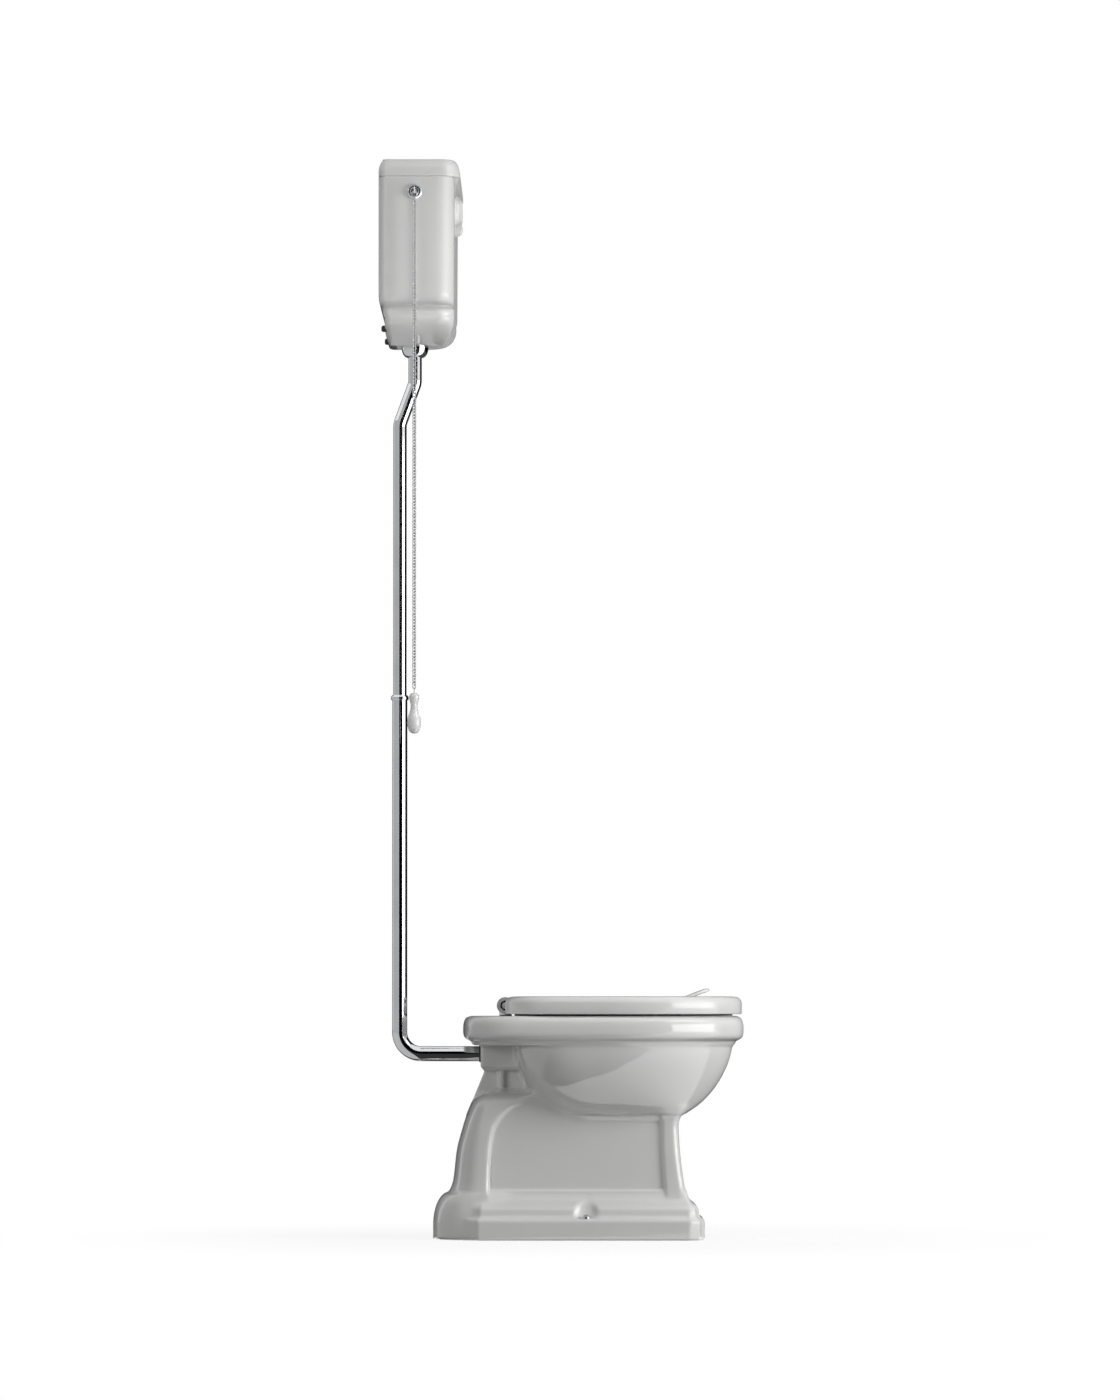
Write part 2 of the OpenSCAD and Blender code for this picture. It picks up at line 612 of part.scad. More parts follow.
// The lid's arms lie outside the barrels, against the underside of the lid
module lid_hinge_arms() color(chrome_colour) both_sides()
  hinge_arm(barrel_end + seat_fit, seat_back + 22, lid_under - seat_fit - 3.4, 3.4);

module hinge_pin() color(chrome_colour)
  along_y(hinge_x, -pin_end, hinge_z) cylinder(h = 2 * pin_end, r = hinge_pin_r);

module hinge_pin_caps() color(chrome_colour) both_sides()
  along_y(hinge_x, pin_end - 0.1, hinge_z) difference() {
    cylinder(h = 4, r = hinge_pin_r + 2);
    translate([0, 0, -1]) cylinder(h = 1 + 0.1 + seat_fit, r = hinge_pin_r + slip_fit);
  }

module hinge_posts() color(chrome_colour) both_sides() difference() {
  union() {
    along_y(hinge_x, barrel_start, hinge_z) cylinder(h = barrel_l, r = barrel_r);
    translate([hinge_x, post_y, rim_z + 1.6 + seat_fit]) cylinder(h = 8, r = 11);
    translate([hinge_x, post_y, rim_z - 42]) cylinder(h = 50, r = stud_r);
  }
  along_y(hinge_x, barrel_start - 1, hinge_z) cylinder(h = barrel_l + 2, r = hinge_pin_r + run_fit);
}

module hinge_gaskets() color(rubber_colour) both_sides()
  translate([hinge_x, post_y, rim_z + seat_fit / 2]) tube(1.6, 11, stud_r + slip_fit);

module hinge_washers() color(rubber_colour) both_sides()
  translate([hinge_x, post_y, rim_z - deck_t - 2.5 - seat_fit]) tube(2.5, 12, stud_r + slip_fit);

module hinge_wing_nuts() color(plastic_colour) both_sides()
  translate([hinge_x, post_y, rim_z - deck_t - 2.5 - 2 * seat_fit - 10]) difference() {
    union() {
      cylinder(h = 10, r = 8);
      translate([-2, -18, 0]) cube([4, 36, 7]);
    }
    translate([0, 0, -1]) cylinder(h = 12, r = stud_r + run_fit);
  }

module buffers(z, h, r) both_sides() for (k = [0, 1])
  translate([buffer_x[k], buffer_hw[k], z]) cylinder(h = h, r = r);

module seat_buffers() color(rubber_colour) buffers(rim_z + seat_fit, seat_lift - 2 * seat_fit, 7);

module lid_buffers() color(rubber_colour)
  buffers(seat_top + seat_fit, lid_under - seat_top - 2 * seat_fit, 6);

// ---- cistern ----

// Plan ring of the tank: inset from its sides, e.g. its wall, at height z
function tank_ring(back, front_in, hw, inset, z, r = tank_corner) =
  box_ring(back + inset, tank_d - front_in - inset, hw - inset, max(r - inset, 3) * 0.35 + 1,
           max(r - inset, 3), z);

// Outer or inner skin of the tank from its bottom up, w being the wall
function tank_skin(w) = let (z0 = tank_z, s = shoulder_z, edge = 26) [
  for (a = [0:15:90]) tank_ring(15 - 7 * sin(a) * lower_h / 120, 1.5 + edge * (1 - sin(a)) * 0.62,
    lower_hw - edge * (1 - sin(a)), w, z0 + w + edge * (1 - cos(a)), tank_corner - 2),
  tank_ring(6, 1.5, lower_hw, w, s - 14 + w),
  tank_ring(4.5, 1.5, lower_hw + 2, w, s - 6 + w), tank_ring(3.5, 1.5, lower_hw + 9, w, s - 0.3 + w),
  tank_ring(3, 1.5, tank_hw - 26, w, s + w),
  for (a = [15:15:90]) tank_ring(3 * (1 - sin(a)), 1.5 - 0.7 * sin(a), tank_hw - 24 * (1 - sin(a)), w,
    s + w + 20 * (1 - cos(a)))];

module cistern_shell() loft(concat(
  [tank_ring(outlet_x - 32, tank_d - outlet_x - 32, 34, 0, outlet_z, 20)],
  tank_skin(0),
  [tank_ring(0, 0, tank_hw, 0, tank_top - 60), tank_ring(0, 0, tank_hw, 0, tank_top),
   tank_ring(0, 0, tank_hw, tank_wall, tank_top)],
  [for (k = [len(tank_skin(tank_wall)) - 1:-1:0]) tank_skin(tank_wall)[k]],
  [tank_ring(outlet_x - 30, tank_d - outlet_x - 30, 30, 0, floor_z, 20)]));

// Cushioned boss on the tank's front, its outline a fan with lobes round its foot [y, z]
module boss(foot, reach, spread, lobes, depth, lean = 0) {
  steps = 6 * lobes;
  outline = concat([[0, -0.12 * reach]], [for (k = [0:steps]) let (a = lean + spread * (k / steps - 0.5),
    r = reach * (1 + 0.07 * cos(360 * lobes * k / steps + 180)) * (1 - 0.12 * pow(abs(2 * k / steps - 1), 2)))
    [-r * sin(a), r * cos(a)]]);
  loft([for (q = [[1.02, -0.4], [1, 0.35], [0.93, 0.72], [0.8, 0.94], [0.55, 1], [0.2, 0.55]])
    [for (p = outline) [tank_d + depth * q[1], foot[0] + q[0] * p[0], foot[1] + q[0] * p[1]]]]);
}

// Fan-shaped shell between two side leaves
module relief() {
  foot_z = tank_top - relief_h;
  boss([0, foot_z + 4], 0.84 * relief_h, 104, 7, relief_d);
  both_sides() boss([relief_w * 0.18, foot_z + 5], relief_w * 0.32, 56, 3, relief_d * 0.75, -84);
}

module cistern_tank() color(china_colour) as_mesh() {
  difference() {
    union() { cistern_shell(); relief(); }
    // outlet, lever hole and water inlet hole
    translate([outlet_x, 0, outlet_z - 5]) cylinder(h = tank_wall + 20, r = valve_tail_r + slip_fit);
    along_y(lever_x, -tank_hw - 1, lever_z) cylinder(h = tank_wall + 3, r = bush_r + slip_fit);
    translate([fill_x, fill_y, shoulder_z - 2]) cylinder(h = tank_wall + 4, r = shank_r + slip_fit);
    both_sides() along_x(-1, wall_hole_w / 2, tank_top - wall_hole_drop)
      cylinder(h = tank_wall + 3, r = wall_hole_r + sleeve_t + slip_fit);
  }
}

// Flanged sleeves in the wall fixing holes
module wall_hole_sleeves() color(rubber_colour) both_sides()
  along_x(seat_fit, wall_hole_w / 2, tank_top - wall_hole_drop) difference() {
    union() {
      cylinder(h = tank_wall + 2, r = wall_hole_r + sleeve_t);
      translate([0, 0, tank_wall]) cylinder(h = 2, r = wall_hole_r + 6);
    }
    translate([0, 0, -1]) cylinder(h = tank_wall + 4, r = wall_hole_r);
  }

module cistern_lid() color(china_colour) as_mesh() loft([
  clid_ring(tank_wall + 14, cistern_top - 10), clid_ring(tank_wall + 8, cistern_top - 13),
  clid_ring(tank_wall + 6, tank_top + 2), lip_ring(4, tank_top - 6),
  lip_ring(0, tank_top - 6), lip_ring(0, tank_top + seat_fit), clid_ring(1.5, tank_top + seat_fit),
  clid_ring(0, tank_top + 1.5), clid_ring(0, tank_top + 14), clid_ring(-0, cistern_top - 12),
  clid_ring(1.2, cistern_top - 6.5), clid_ring(4, cistern_top - 2.8), clid_ring(9, cistern_top - 0.8),
  clid_ring(16, cistern_top)]);

function clid_ring(inset, z) = box_ring(min(inset, 8), clid_d - inset, clid_hw - inset,
  max(3, 14 - inset / 2), max(tank_corner + 4 - inset, 10), z);
function lip_ring(inset, z) = tank_ring(0, 0, tank_hw, tank_wall + 1 + inset, z);

module wall_bumpers() color(rubber_colour) both_sides()
  along_x(0, lower_hw - 34, tank_z + 31) cylinder(h = 8, r = bumper_r);

// ---- outlet and flush pipe ----

module outlet_escutcheon() color(chrome_colour) translate([outlet_x, 0, outlet_z - seat_fit])
  rotate_extrude($fn = 64) polygon(concat(
    [for (a = [0:10:90]) [upper_r + slip_fit + (dome_r - upper_r - slip_fit) * cos(a), -dome_h * sin(a)]],
    [for (a = [90:-10:0]) [upper_r + slip_fit + (dome_r - 1.5 - upper_r - slip_fit) * cos(a),
                           -(dome_h - 1.5) * sin(a)]]));

module outlet_washer() color(rubber_colour) translate([outlet_x, 0, outlet_z - 2.5 - seat_fit])
  tube(2.5, nut_r + 1, valve_tail_r + slip_fit);

module outlet_locknut() color(brass_colour) translate([outlet_x, 0, outlet_z - 9 - 2 * seat_fit])
  difference() {
    cylinder(h = 6.5, r = nut_r, $fn = 6);
    translate([0, 0, -1]) cylinder(h = 9, r = valve_tail_r + run_fit);
  }

// The upper flush pipe leans back below the tank, with a bend at each end of the lean
module flush_pipe_upper() color(chrome_colour) {
  reach = bend_r * tan(bend_a / 2);
  bend = [for (k = [0:4]) bend_a * k / 4];
  high = [outlet_x - bend_r, bend_top_z + reach];
  low = [pipe_x + bend_r, bend_low_z - reach];
  path = concat([[outlet_x, outlet_z - 5]], [for (a = bend) high + bend_r * [cos(a), -sin(a)]],
    [for (a = reversed(bend)) low + bend_r * [-cos(a), sin(a)]], [[pipe_x, joint_z - pipe_lap]]);
  as_mesh() loft(concat(sweep_rings(path, upper_r, 32),
    reversed(sweep_rings(path, upper_r - pipe_wall, 32))), loop = true);
}

module lower_run(r, extra = 0) {
  translate([pipe_x, 0, inlet_z + elbow_r])
    cylinder(h = joint_z - 3 - inlet_z - elbow_r + extra, r = r);
  translate([pipe_x + elbow_r, 0, inlet_z + elbow_r]) rotate([90, 0, 0])
    rotate([0, 0, 180]) rotate_extrude(angle = 90) translate([elbow_r, 0]) circle(r = r);
  along_x(pipe_x + elbow_r, 0, inlet_z) cylinder(h = inlet_end - pipe_x - elbow_r + extra, r = r);
}

module flush_pipe_lower() color(chrome_colour) difference() {
  lower_run(lower_r);
  lower_run(lower_r - pipe_wall, 1);
}

module joint_collar() color(chrome_colour) translate([pipe_x, 0, joint_z - 6]) rotate_extrude($fn = 64)
  polygon([[lower_r + slip_fit, 0], [lower_r + 1.4, 0], [lower_r + 2.4, 1.5], [lower_r + 2.4, 5.5],
           [lower_r + 1.2, 8], [lower_r - 0.2, 9.5], [upper_r + slip_fit, 9.5], [upper_r + slip_fit, 6.5],
           [lower_r + slip_fit, 6.5]]);

module joint_seal() color(rubber_colour) translate([pipe_x, 0, joint_z - 3 + 0.1])
  tube(3, lower_r, upper_r + 0.1);

module inlet_cone() color(rubber_colour) along_x(inlet_back - 3, 0, inlet_z)
  rotate_extrude($fn = 48) polygon([[lower_r + 0.1, 0], [lower_r + 1.2, 0], [lower_r + 1.6, 1], [lower_r + 1.6, 3.3],
    [inlet_bore - slip_fit, 3.3], [inlet_bore - slip_fit, 24], [lower_r + 2, 31], [lower_r + 0.1, 31]]);

// ---- flush valve ----

module flush_valve_seat() color(brass_colour) difference() {
  union() {
    translate([outlet_x, 0, floor_z + seat_fit]) cylinder(h = 5, r = valve_r + 8);
    translate([outlet_x, 0, floor_z + 2]) cylinder(h = valve_top - floor_z - 2, r = valve_r - 4);
    translate([outlet_x, 0, outlet_z - 14]) cylinder(h = floor_z - outlet_z + 20, r = valve_tail_r);
    translate([outlet_x, overflow_y, floor_z + seat_fit]) cylinder(h = 16, r = overflow_r + 3);
    translate([outlet_x - 8, overflow_y, floor_z + seat_fit]) cube([16, abs(overflow_y), 7]);
  }
  translate([outlet_x, 0, floor_z + 8]) cylinder(h = valve_top, r = valve_r - 7);
  translate([outlet_x, 0, outlet_z - 20]) cylinder(h = 40, r = tail_bore);
  translate([outlet_x, overflow_y, floor_z + 6]) cylinder(h = 30, r = overflow_r + slip_fit);
}

module overflow_tube() color(plastic_colour) translate([outlet_x, overflow_y, floor_z + 6 + seat_fit])
  tube(overflow_top - floor_z - 6, overflow_r, overflow_r - 2);

module stem_guide() color(plastic_colour) difference() {
  union() {
    translate([outlet_x, 0, guide_z]) cylinder(h = 8, r = stem_r + 3);
    translate([outlet_x, overflow_y, guide_z]) cylinder(h = 8, r = overflow_r + 3);
    translate([outlet_x - 3, overflow_y, guide_z]) cube([6, abs(overflow_y), 6]);
  }
  translate([outlet_x, 0, guide_z - 1]) cylinder(h = 10, r = stem_r + seat_fit);
  translate([outlet_x, overflow_y, guide_z - 1]) cylinder(h = 10, r = overflow_r + slip_fit);
}

module flush_valve_disc() color(rubber_colour) translate([outlet_x, 0, valve_top + seat_fit])
  tube(5, valve_r, stem_r + slip_fit);

module flush_valve_stem() color(brass_colour) translate([outlet_x, 0, 0]) {
  translate([0, 0, valve_top - 8]) cylinder(h = stem_top - valve_top + 8, r = stem_r);
  translate([0, 0, valve_top + 5 + 2 * seat_fit]) cylinder(h = 4, r = valve_r - 8);
}

// Link from the stem up to the ring round the lever's inner end
module lift_link() color(brass_colour) {
  difference() {
    hull() {
      translate([outlet_x, 0, stem_top + 0.1]) cylinder(h = 5, r = stem_r + 2, $fn = 32);
      translate([lever_x, link_y, stem_top + 0.1]) cylinder(h = 5, r = stem_r, $fn = 32);
    }
  }
  translate([lever_x, link_y, stem_top + 2]) cylinder(h = lever_z - lever_sag - stem_top - 9, r = 1.8);
  wire_ring(lever_x, link_y, lever_z - lever_sag, lever_r + 4, 1.8, across = true);
}

// ---- lever ----

// Straight round bar between two points of the plane x = lever_x, given as [y, z]
module bar(a, b, r) let (d = b - a)
  translate([lever_x, a[0], a[1]]) rotate([-atan2(d[0], d[1]), 0, 0]) cylinder(h = norm(d), r = r, $fn = 24);

module flush_lever() color(chrome_colour) difference() {
  union() {
    bar([hook_y + eye_r - 0.5, lever_z], [pivot_y + 18, lever_z], lever_r);
    bar([pivot_y + 18, lever_z], [link_y - 16, lever_z - lever_sag], lever_r);
    bar([link_y - 16, lever_z - lever_sag], [link_y + 9, lever_z - lever_sag], lever_r);
    translate([lever_x, pivot_y + 18, lever_z]) sphere(r = lever_r + 0.4, $fn = 24);
    translate([lever_x, link_y - 16, lever_z - lever_sag]) sphere(r = lever_r + 0.4, $fn = 24);
    wire_ring(lever_x, pivot_y - lever_out, lever_z, eye_r, eye_wire);
    along_x(lever_x - 6, pivot_y, lever_z) cylinder(h = 12, r = 5);
  }
  along_x(lever_x - 7, pivot_y, lever_z) cylinder(h = 14, r = pivot_r + run_fit);
}

module lever_pivot_pin() color(brass_colour)
  along_x(lever_x - bush_r, pivot_y, lever_z) cylinder(h = 2 * bush_r, r = pivot_r);

module lever_bush() color(chrome_colour) difference() {
  along_y(lever_x, -tank_hw - seat_fit, lever_z) {
    cylinder(h = tank_wall + 20, r = bush_r);
    rotate([180, 0, 0]) rotate_extrude($fn = 64) polygon([[0, 0], [rosette_r, 0], [rosette_r, 1],
      [rosette_r - 0.8, 2.6], [rosette_r - 2.4, 4.2], [bush_bore + 1.4, bush_out], [0, bush_out]]);
  }
  along_y(lever_x, -tank_hw - 20, lever_z) cylinder(h = 60, r = bush_bore);
  along_x(lever_x - 20, pivot_y, lever_z) cylinder(h = 40, r = pivot_r + run_fit);
}

module lever_bush_nut() color(brass_colour)
  along_y(lever_x, -tank_hw + tank_wall + seat_fit, lever_z) difference() {
    cylinder(h = 6, r = bush_r + 4, $fn = 6);
    translate([0, 0, -1]) cylinder(h = 8, r = bush_r + run_fit);
  }

// ---- chain and handle ----

module chain_hook() color(chrome_colour)
  wire_ring(lever_x, hook_y, hook_top - hook_r, hook_r, hook_wire, across = true);

module pull_chain() color(chrome_colour)
  translate([lever_x, hook_y, chain_low]) cylinder(h = chain_top - chain_low, r = chain_r, $fn = 24);

module handle_eye() color(chrome_colour) {
  wire_ring(lever_x, hook_y, handle_top + eye_h / 2 + 0.1, 2.2, 0.9);
  translate([lever_x, hook_y, handle_top - 12]) cylinder(h = 13.4, r = 1.2);
}

// Radii of the pull handle from its round lower end to its head, as shares of handle_r
handle_radii = [0.02, 0.62, 0.9, 1, 0.96, 0.8, 0.64, 0.56, 0.56, 0.66, 0.74, 0.68, 0.4];

module pull_handle() color(china_colour) {
  n = len(handle_radii) - 1;
  steps = 40;
  translate([lever_x, hook_y, handle_top - handle_h]) difference() {
    rotate_extrude($fn = 48) polygon(concat([[0, 0]],
      [for (k = [0:steps]) let (t = n * k / steps) [max(0.05, smooth(handle_radii, t)) * handle_r,
        handle_h * (t < 1 ? 0.5 * t * t : t - 0.5) / (n - 0.5)]], [[0, handle_h]]));
    translate([0, 0, handle_h - 14]) cylinder(h = 15, r = 1.2 + run_fit);
  }
}

// ---- fill valve ----

module fill_valve() color(plastic_colour) difference() {
  union() {
    translate([fill_x, fill_y, shoulder_z - tail_l]) cylinder(h = tail_l, r = tail_r);
    translate([fill_x, fill_y, shoulder_z - 8 - 2 * seat_fit]) cylinder(h = tank_wall + 14, r = shank_r);
    translate([fill_x, fill_y, fill_floor + 2 * seat_fit + 2.5]) cylinder(h = 6, r = 18);
    translate([fill_x, fill_y, fill_floor + 6]) cylinder(h = float_pivot_z - fill_floor - 14, r = 12);
    translate([fill_x, fill_y, float_pivot_z - 14]) cylinder(h = 26, r = 16);
    for (side = [-1, 1]) translate([fill_x + side * (arm_t / 2 + seat_fit + 2), 0, 0]) {
      along_x(-2, float_pivot_y, float_pivot_z) cylinder(h = 4, r = 6);
      translate([-2, float_pivot_y, float_pivot_z - 6]) cube([4, fill_y - float_pivot_y, 12]);
    }
  }
  along_x(fill_x - 20, float_pivot_y, float_pivot_z) cylinder(h = 40, r = 2 + run_fit);
  translate([fill_x, fill_y, shoulder_z - tail_l - 1]) cylinder(h = tail_l + 60, r = tail_r - 3);
}

module fill_valve_washer() color(rubber_colour) translate([fill_x, fill_y, fill_floor + seat_fit])
  tube(2.5, fill_nut_r - 0.1, shank_r + slip_fit);

module fill_valve_locknut() color(brass_colour) translate([fill_x, fill_y, shoulder_z - 2 * seat_fit - 8])
  difference() {
    cylinder(h = 8, r = fill_nut_r, $fn = 6);
    translate([0, 0, -1]) cylinder(h = 10, r = shank_r + run_fit);
  }

module float_pivot_pin() color(brass_colour)
  along_x(fill_x - 9, float_pivot_y, float_pivot_z) cylinder(h = 18, r = 2);

module float_frame() translate([fill_x, float_pivot_y, float_pivot_z]) rotate([float_rest, 0, 0]) children();

module float_arm() color(brass_colour) float_frame() difference() {
  union() {
    rotate([90, 0, 0]) cylinder(h = float_l - float_r - 0.1, r = 2.5);
    translate([-arm_t / 2, 0, 0]) rotate([0, 90, 0]) cylinder(h = arm_t, r = 5.5);
  }
  translate([-10, 0, 0]) rotate([0, 90, 0]) cylinder(h = 20, r = 2 + run_fit);
}

module float_ball() color([0.75, 0.35, 0.2]) float_frame() translate([0, -float_l, 0]) {
  sphere(r = float_r, $fn = 48);
  rotate([-90, 0, 0]) cylinder(h = float_r - 0.3, r = 5);
}

pan();
floor_screws();
floor_screw_caps();
seat_ring();
seat_lid();
seat_hinge_arms();
lid_hinge_arms();
hinge_pin();
hinge_pin_caps();
hinge_posts();
hinge_gaskets();
hinge_washers();
hinge_wing_nuts();
seat_buffers();
lid_buffers();
cistern_tank();
cistern_lid();
wall_bumpers();
wall_hole_sleeves();
waste_sleeve();
outlet_escutcheon();
outlet_washer();
outlet_locknut();
flush_pipe_upper();
flush_pipe_lower();
joint_collar();
joint_seal();
inlet_cone();
flush_valve_seat();
overflow_tube();
stem_guide();
flush_valve_disc();
flush_valve_stem();
lift_link();
lever_bush();
lever_bush_nut();
lever_pivot_pin();
flush_lever();
chain_hook();
pull_chain();
handle_eye();
pull_handle();
fill_valve();
fill_valve_washer();
fill_valve_locknut();
float_pivot_pin();
float_arm();
float_ball();
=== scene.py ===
"""High tank pull chain toilet: the visible pieces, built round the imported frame."""
import json
import math

import bmesh
import bpy
import numpy as np
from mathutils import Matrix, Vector


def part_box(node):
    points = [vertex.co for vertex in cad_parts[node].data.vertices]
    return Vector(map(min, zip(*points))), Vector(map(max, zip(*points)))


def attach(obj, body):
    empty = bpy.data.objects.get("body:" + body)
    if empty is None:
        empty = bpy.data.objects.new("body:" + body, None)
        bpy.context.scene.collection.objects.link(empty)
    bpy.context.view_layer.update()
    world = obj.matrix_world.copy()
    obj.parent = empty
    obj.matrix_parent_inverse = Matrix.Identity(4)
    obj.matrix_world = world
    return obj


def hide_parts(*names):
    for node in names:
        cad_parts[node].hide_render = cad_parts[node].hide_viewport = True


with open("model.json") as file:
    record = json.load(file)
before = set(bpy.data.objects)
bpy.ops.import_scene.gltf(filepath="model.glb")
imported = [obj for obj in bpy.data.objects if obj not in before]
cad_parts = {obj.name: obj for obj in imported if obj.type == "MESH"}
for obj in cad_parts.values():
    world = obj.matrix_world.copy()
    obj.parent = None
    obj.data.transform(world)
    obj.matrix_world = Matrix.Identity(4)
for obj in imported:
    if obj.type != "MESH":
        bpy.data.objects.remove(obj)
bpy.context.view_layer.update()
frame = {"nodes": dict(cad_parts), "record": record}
MM = 0.001


# ---- camera ----

CAMERA_DISTANCE = 12.0
CAMERA_X, CAMERA_Z = 0.3305, 0.431
CAMERA_PITCH = math.radians(1.21)
CAMERA_LENS = 166.8
CAMERA_SHIFT = 0.12


def make_camera():
    data = bpy.data.cameras.new("camera")
    data.lens = CAMERA_LENS
    data.sensor_width = 36
    data.shift_y = CAMERA_SHIFT
    data.clip_end = 100  # past the corners of the floor that the camera sees
    camera = bpy.data.objects.new("camera", data)
    camera.location = (CAMERA_X, -CAMERA_DISTANCE, CAMERA_Z)
    camera.rotation_euler = (math.pi / 2 + CAMERA_PITCH, 0, 0)
    bpy.context.scene.collection.objects.link(camera)
    bpy.context.scene.camera = camera


# ---- materials ----

NOISE_LOW, NOISE_HIGH = 0.3, 0.7  # nearly all noise lies between these


def material(name, colour, roughness, metallic=0.0, **sockets):
    """A Principled material. Returns the material, its node tree and the shader node."""
    mat = bpy.data.materials.new(name)
    mat.use_nodes = True
    tree = mat.node_tree
    shader = tree.nodes["Principled BSDF"]
    shader.inputs["Base Color"].default_value = (*colour, 1)
    shader.inputs["Roughness"].default_value = roughness
    shader.inputs["Metallic"].default_value = metallic
    for key, value in sockets.items():
        shader.inputs[key.replace("_", " ")].default_value = value
    return mat, tree, shader


def noise(tree, scale, detail, stretch=(1, 1, 1)):
    """Noise in object coordinates, in features per metre."""
    coords = tree.nodes.new("ShaderNodeTexCoord")
    mapping = tree.nodes.new("ShaderNodeMapping")
    mapping.inputs["Scale"].default_value = stretch
    tex = tree.nodes.new("ShaderNodeTexNoise")
    tex.inputs["Scale"].default_value = scale
    tex.inputs["Detail"].default_value = detail
    tree.links.new(coords.outputs["Object"], mapping.inputs["Vector"])
    tree.links.new(mapping.outputs["Vector"], tex.inputs["Vector"])
    return tex.outputs["Fac"]


def ramp(tree, factor, low, high):
    """Two colours over a noise factor."""
    node = tree.nodes.new("ShaderNodeValToRGB")
    node.color_ramp.elements[0].position = NOISE_LOW
    node.color_ramp.elements[1].position = NOISE_HIGH
    node.color_ramp.elements[0].color = (*low, 1)
    node.color_ramp.elements[1].color = (*high, 1)
    tree.links.new(factor, node.inputs["Fac"])
    return node.outputs["Color"]


def spread(tree, factor, low, high, start=NOISE_LOW, end=NOISE_HIGH):
    """A number that goes from low to high as a factor goes from start to end."""
    node = tree.nodes.new("ShaderNodeMapRange")
    node.inputs["From Min"].default_value = start
    node.inputs["From Max"].default_value = end
    node.inputs["To Min"].default_value = low
    node.inputs["To Max"].default_value = high
    tree.links.new(factor, node.inputs["Value"])
    return node.outputs["Result"]


def combine(tree, operation, first, second):
    """Two numbers put together by a math node."""
    node = tree.nodes.new("ShaderNodeMath")
    node.operation = operation
    tree.links.new(first, node.inputs[0])
    tree.links.new(second, node.inputs[1])
    return node.outputs[0]


def glow_shader(tree, level):
    """White emission, not linked to anything yet."""
    node = tree.nodes.new("ShaderNodeEmission")
    node.inputs["Color"].default_value = (1, 1, 1, 1)
    node.inputs["Strength"].default_value = level
    return node.outputs["Emission"]


def tint(tree, shader, factor, low, high):
    """Base colour of a shader that varies between two colours."""
    tree.links.new(ramp(tree, factor, low, high), shader.inputs["Base Color"])


def gloss(tree, shader, factor, low, high):
    """Roughness of a shader that varies between two values."""
    tree.links.new(spread(tree, factor, low, high), shader.inputs["Roughness"])


def bump(tree, shader, factor, height):
    """Bumps of a height in metres on a shader."""
    node = tree.nodes.new("ShaderNodeBump")
    node.inputs["Strength"].default_value = 1.0
    node.inputs["Distance"].default_value = height
    tree.links.new(factor, node.inputs["Height"])
    tree.links.new(node.outputs["Normal"], shader.inputs["Normal"])


def glazed_china():
    """White vitreous china: faint unevenness of the glaze in tone, gloss and surface."""
    mat, tree, shader = material("glazed_china", (0.8, 0.8, 0.79), 0.07, Coat_Weight=0.35,
                                 Coat_Roughness=0.03, Specular_IOR_Level=0.5)
    tint(tree, shader, noise(tree, 9, 3), (0.79, 0.79, 0.785), (0.815, 0.815, 0.805))
    gloss(tree, shader, noise(tree, 30, 4), 0.06, 0.1)
    bump(tree, shader, noise(tree, 26, 1), 0.00025)
    return mat


def lacquered_seat():
    """White high-gloss seat and lid, a touch warmer and smoother than the china."""
    mat, tree, shader = material("seat_gloss", (0.81, 0.81, 0.8), 0.09, Coat_Weight=0.3,
                                 Coat_Roughness=0.04)
    tint(tree, shader, noise(tree, 14, 3), (0.8, 0.8, 0.79), (0.825, 0.825, 0.815))
    gloss(tree, shader, noise(tree, 60, 3), 0.08, 0.12)
    bump(tree, shader, noise(tree, 40, 1), 0.0001)
    return mat


def chrome():
    """Polished chrome plate with faint wipe marks."""
    mat, tree, shader = material("chrome_plate", (0.72, 0.73, 0.75), 0.06, 1.0)
    tint(tree, shader, noise(tree, 22, 3), (0.7, 0.71, 0.73), (0.77, 0.78, 0.79))
    gloss(tree, shader, noise(tree, 240, 4, (1, 1, 0.15)), 0.035, 0.09)
    return mat


def satin_chrome():
    """Chrome plate with a soft sheen, on the hinge."""
    mat, tree, shader = material("satin_chrome", (0.8, 0.81, 0.83), 0.4, 1.0)
    tint(tree, shader, noise(tree, 60, 3), (0.76, 0.77, 0.79), (0.86, 0.87, 0.89))
    gloss(tree, shader, noise(tree, 200, 3), 0.34, 0.46)
    return mat


def chain_metal():
    """Chromed chain, a little duller than the pipe and uneven in tone."""
    mat, tree, shader = material("chain_metal", (0.42, 0.42, 0.43), 0.16, 1.0)
    tint(tree, shader, noise(tree, 500, 2), (0.55, 0.55, 0.56), (0.8, 0.8, 0.81))
    return mat


def brass():
    """Cast brass of the valve seat and the fittings."""
    mat, tree, shader = material("cast_brass", (0.62, 0.44, 0.2), 0.3, 1.0)
    tint(tree, shader, noise(tree, 60, 4), (0.5, 0.35, 0.16), (0.68, 0.5, 0.25))
    bump(tree, shader, noise(tree, 900, 3), 0.00008)
    return mat


def copper():
    """Copper of the float ball."""
    mat, tree, shader = material("float_copper", (0.66, 0.33, 0.2), 0.28, 1.0)
    tint(tree, shader, noise(tree, 35, 4), (0.5, 0.24, 0.15), (0.74, 0.4, 0.26))
    return mat


def rubber():
    """Black rubber of buffers, sleeves and seals, also the black of the painted shade under the seat and in
    the rosette's bore.
    """
    mat, tree, shader = material("black_rubber", (0.025, 0.025, 0.027), 0.6)
    tint(tree, shader, noise(tree, 300, 3), (0.018, 0.018, 0.02), (0.04, 0.04, 0.042))
    bump(tree, shader, noise(tree, 1500, 2), 0.00005)
    return mat


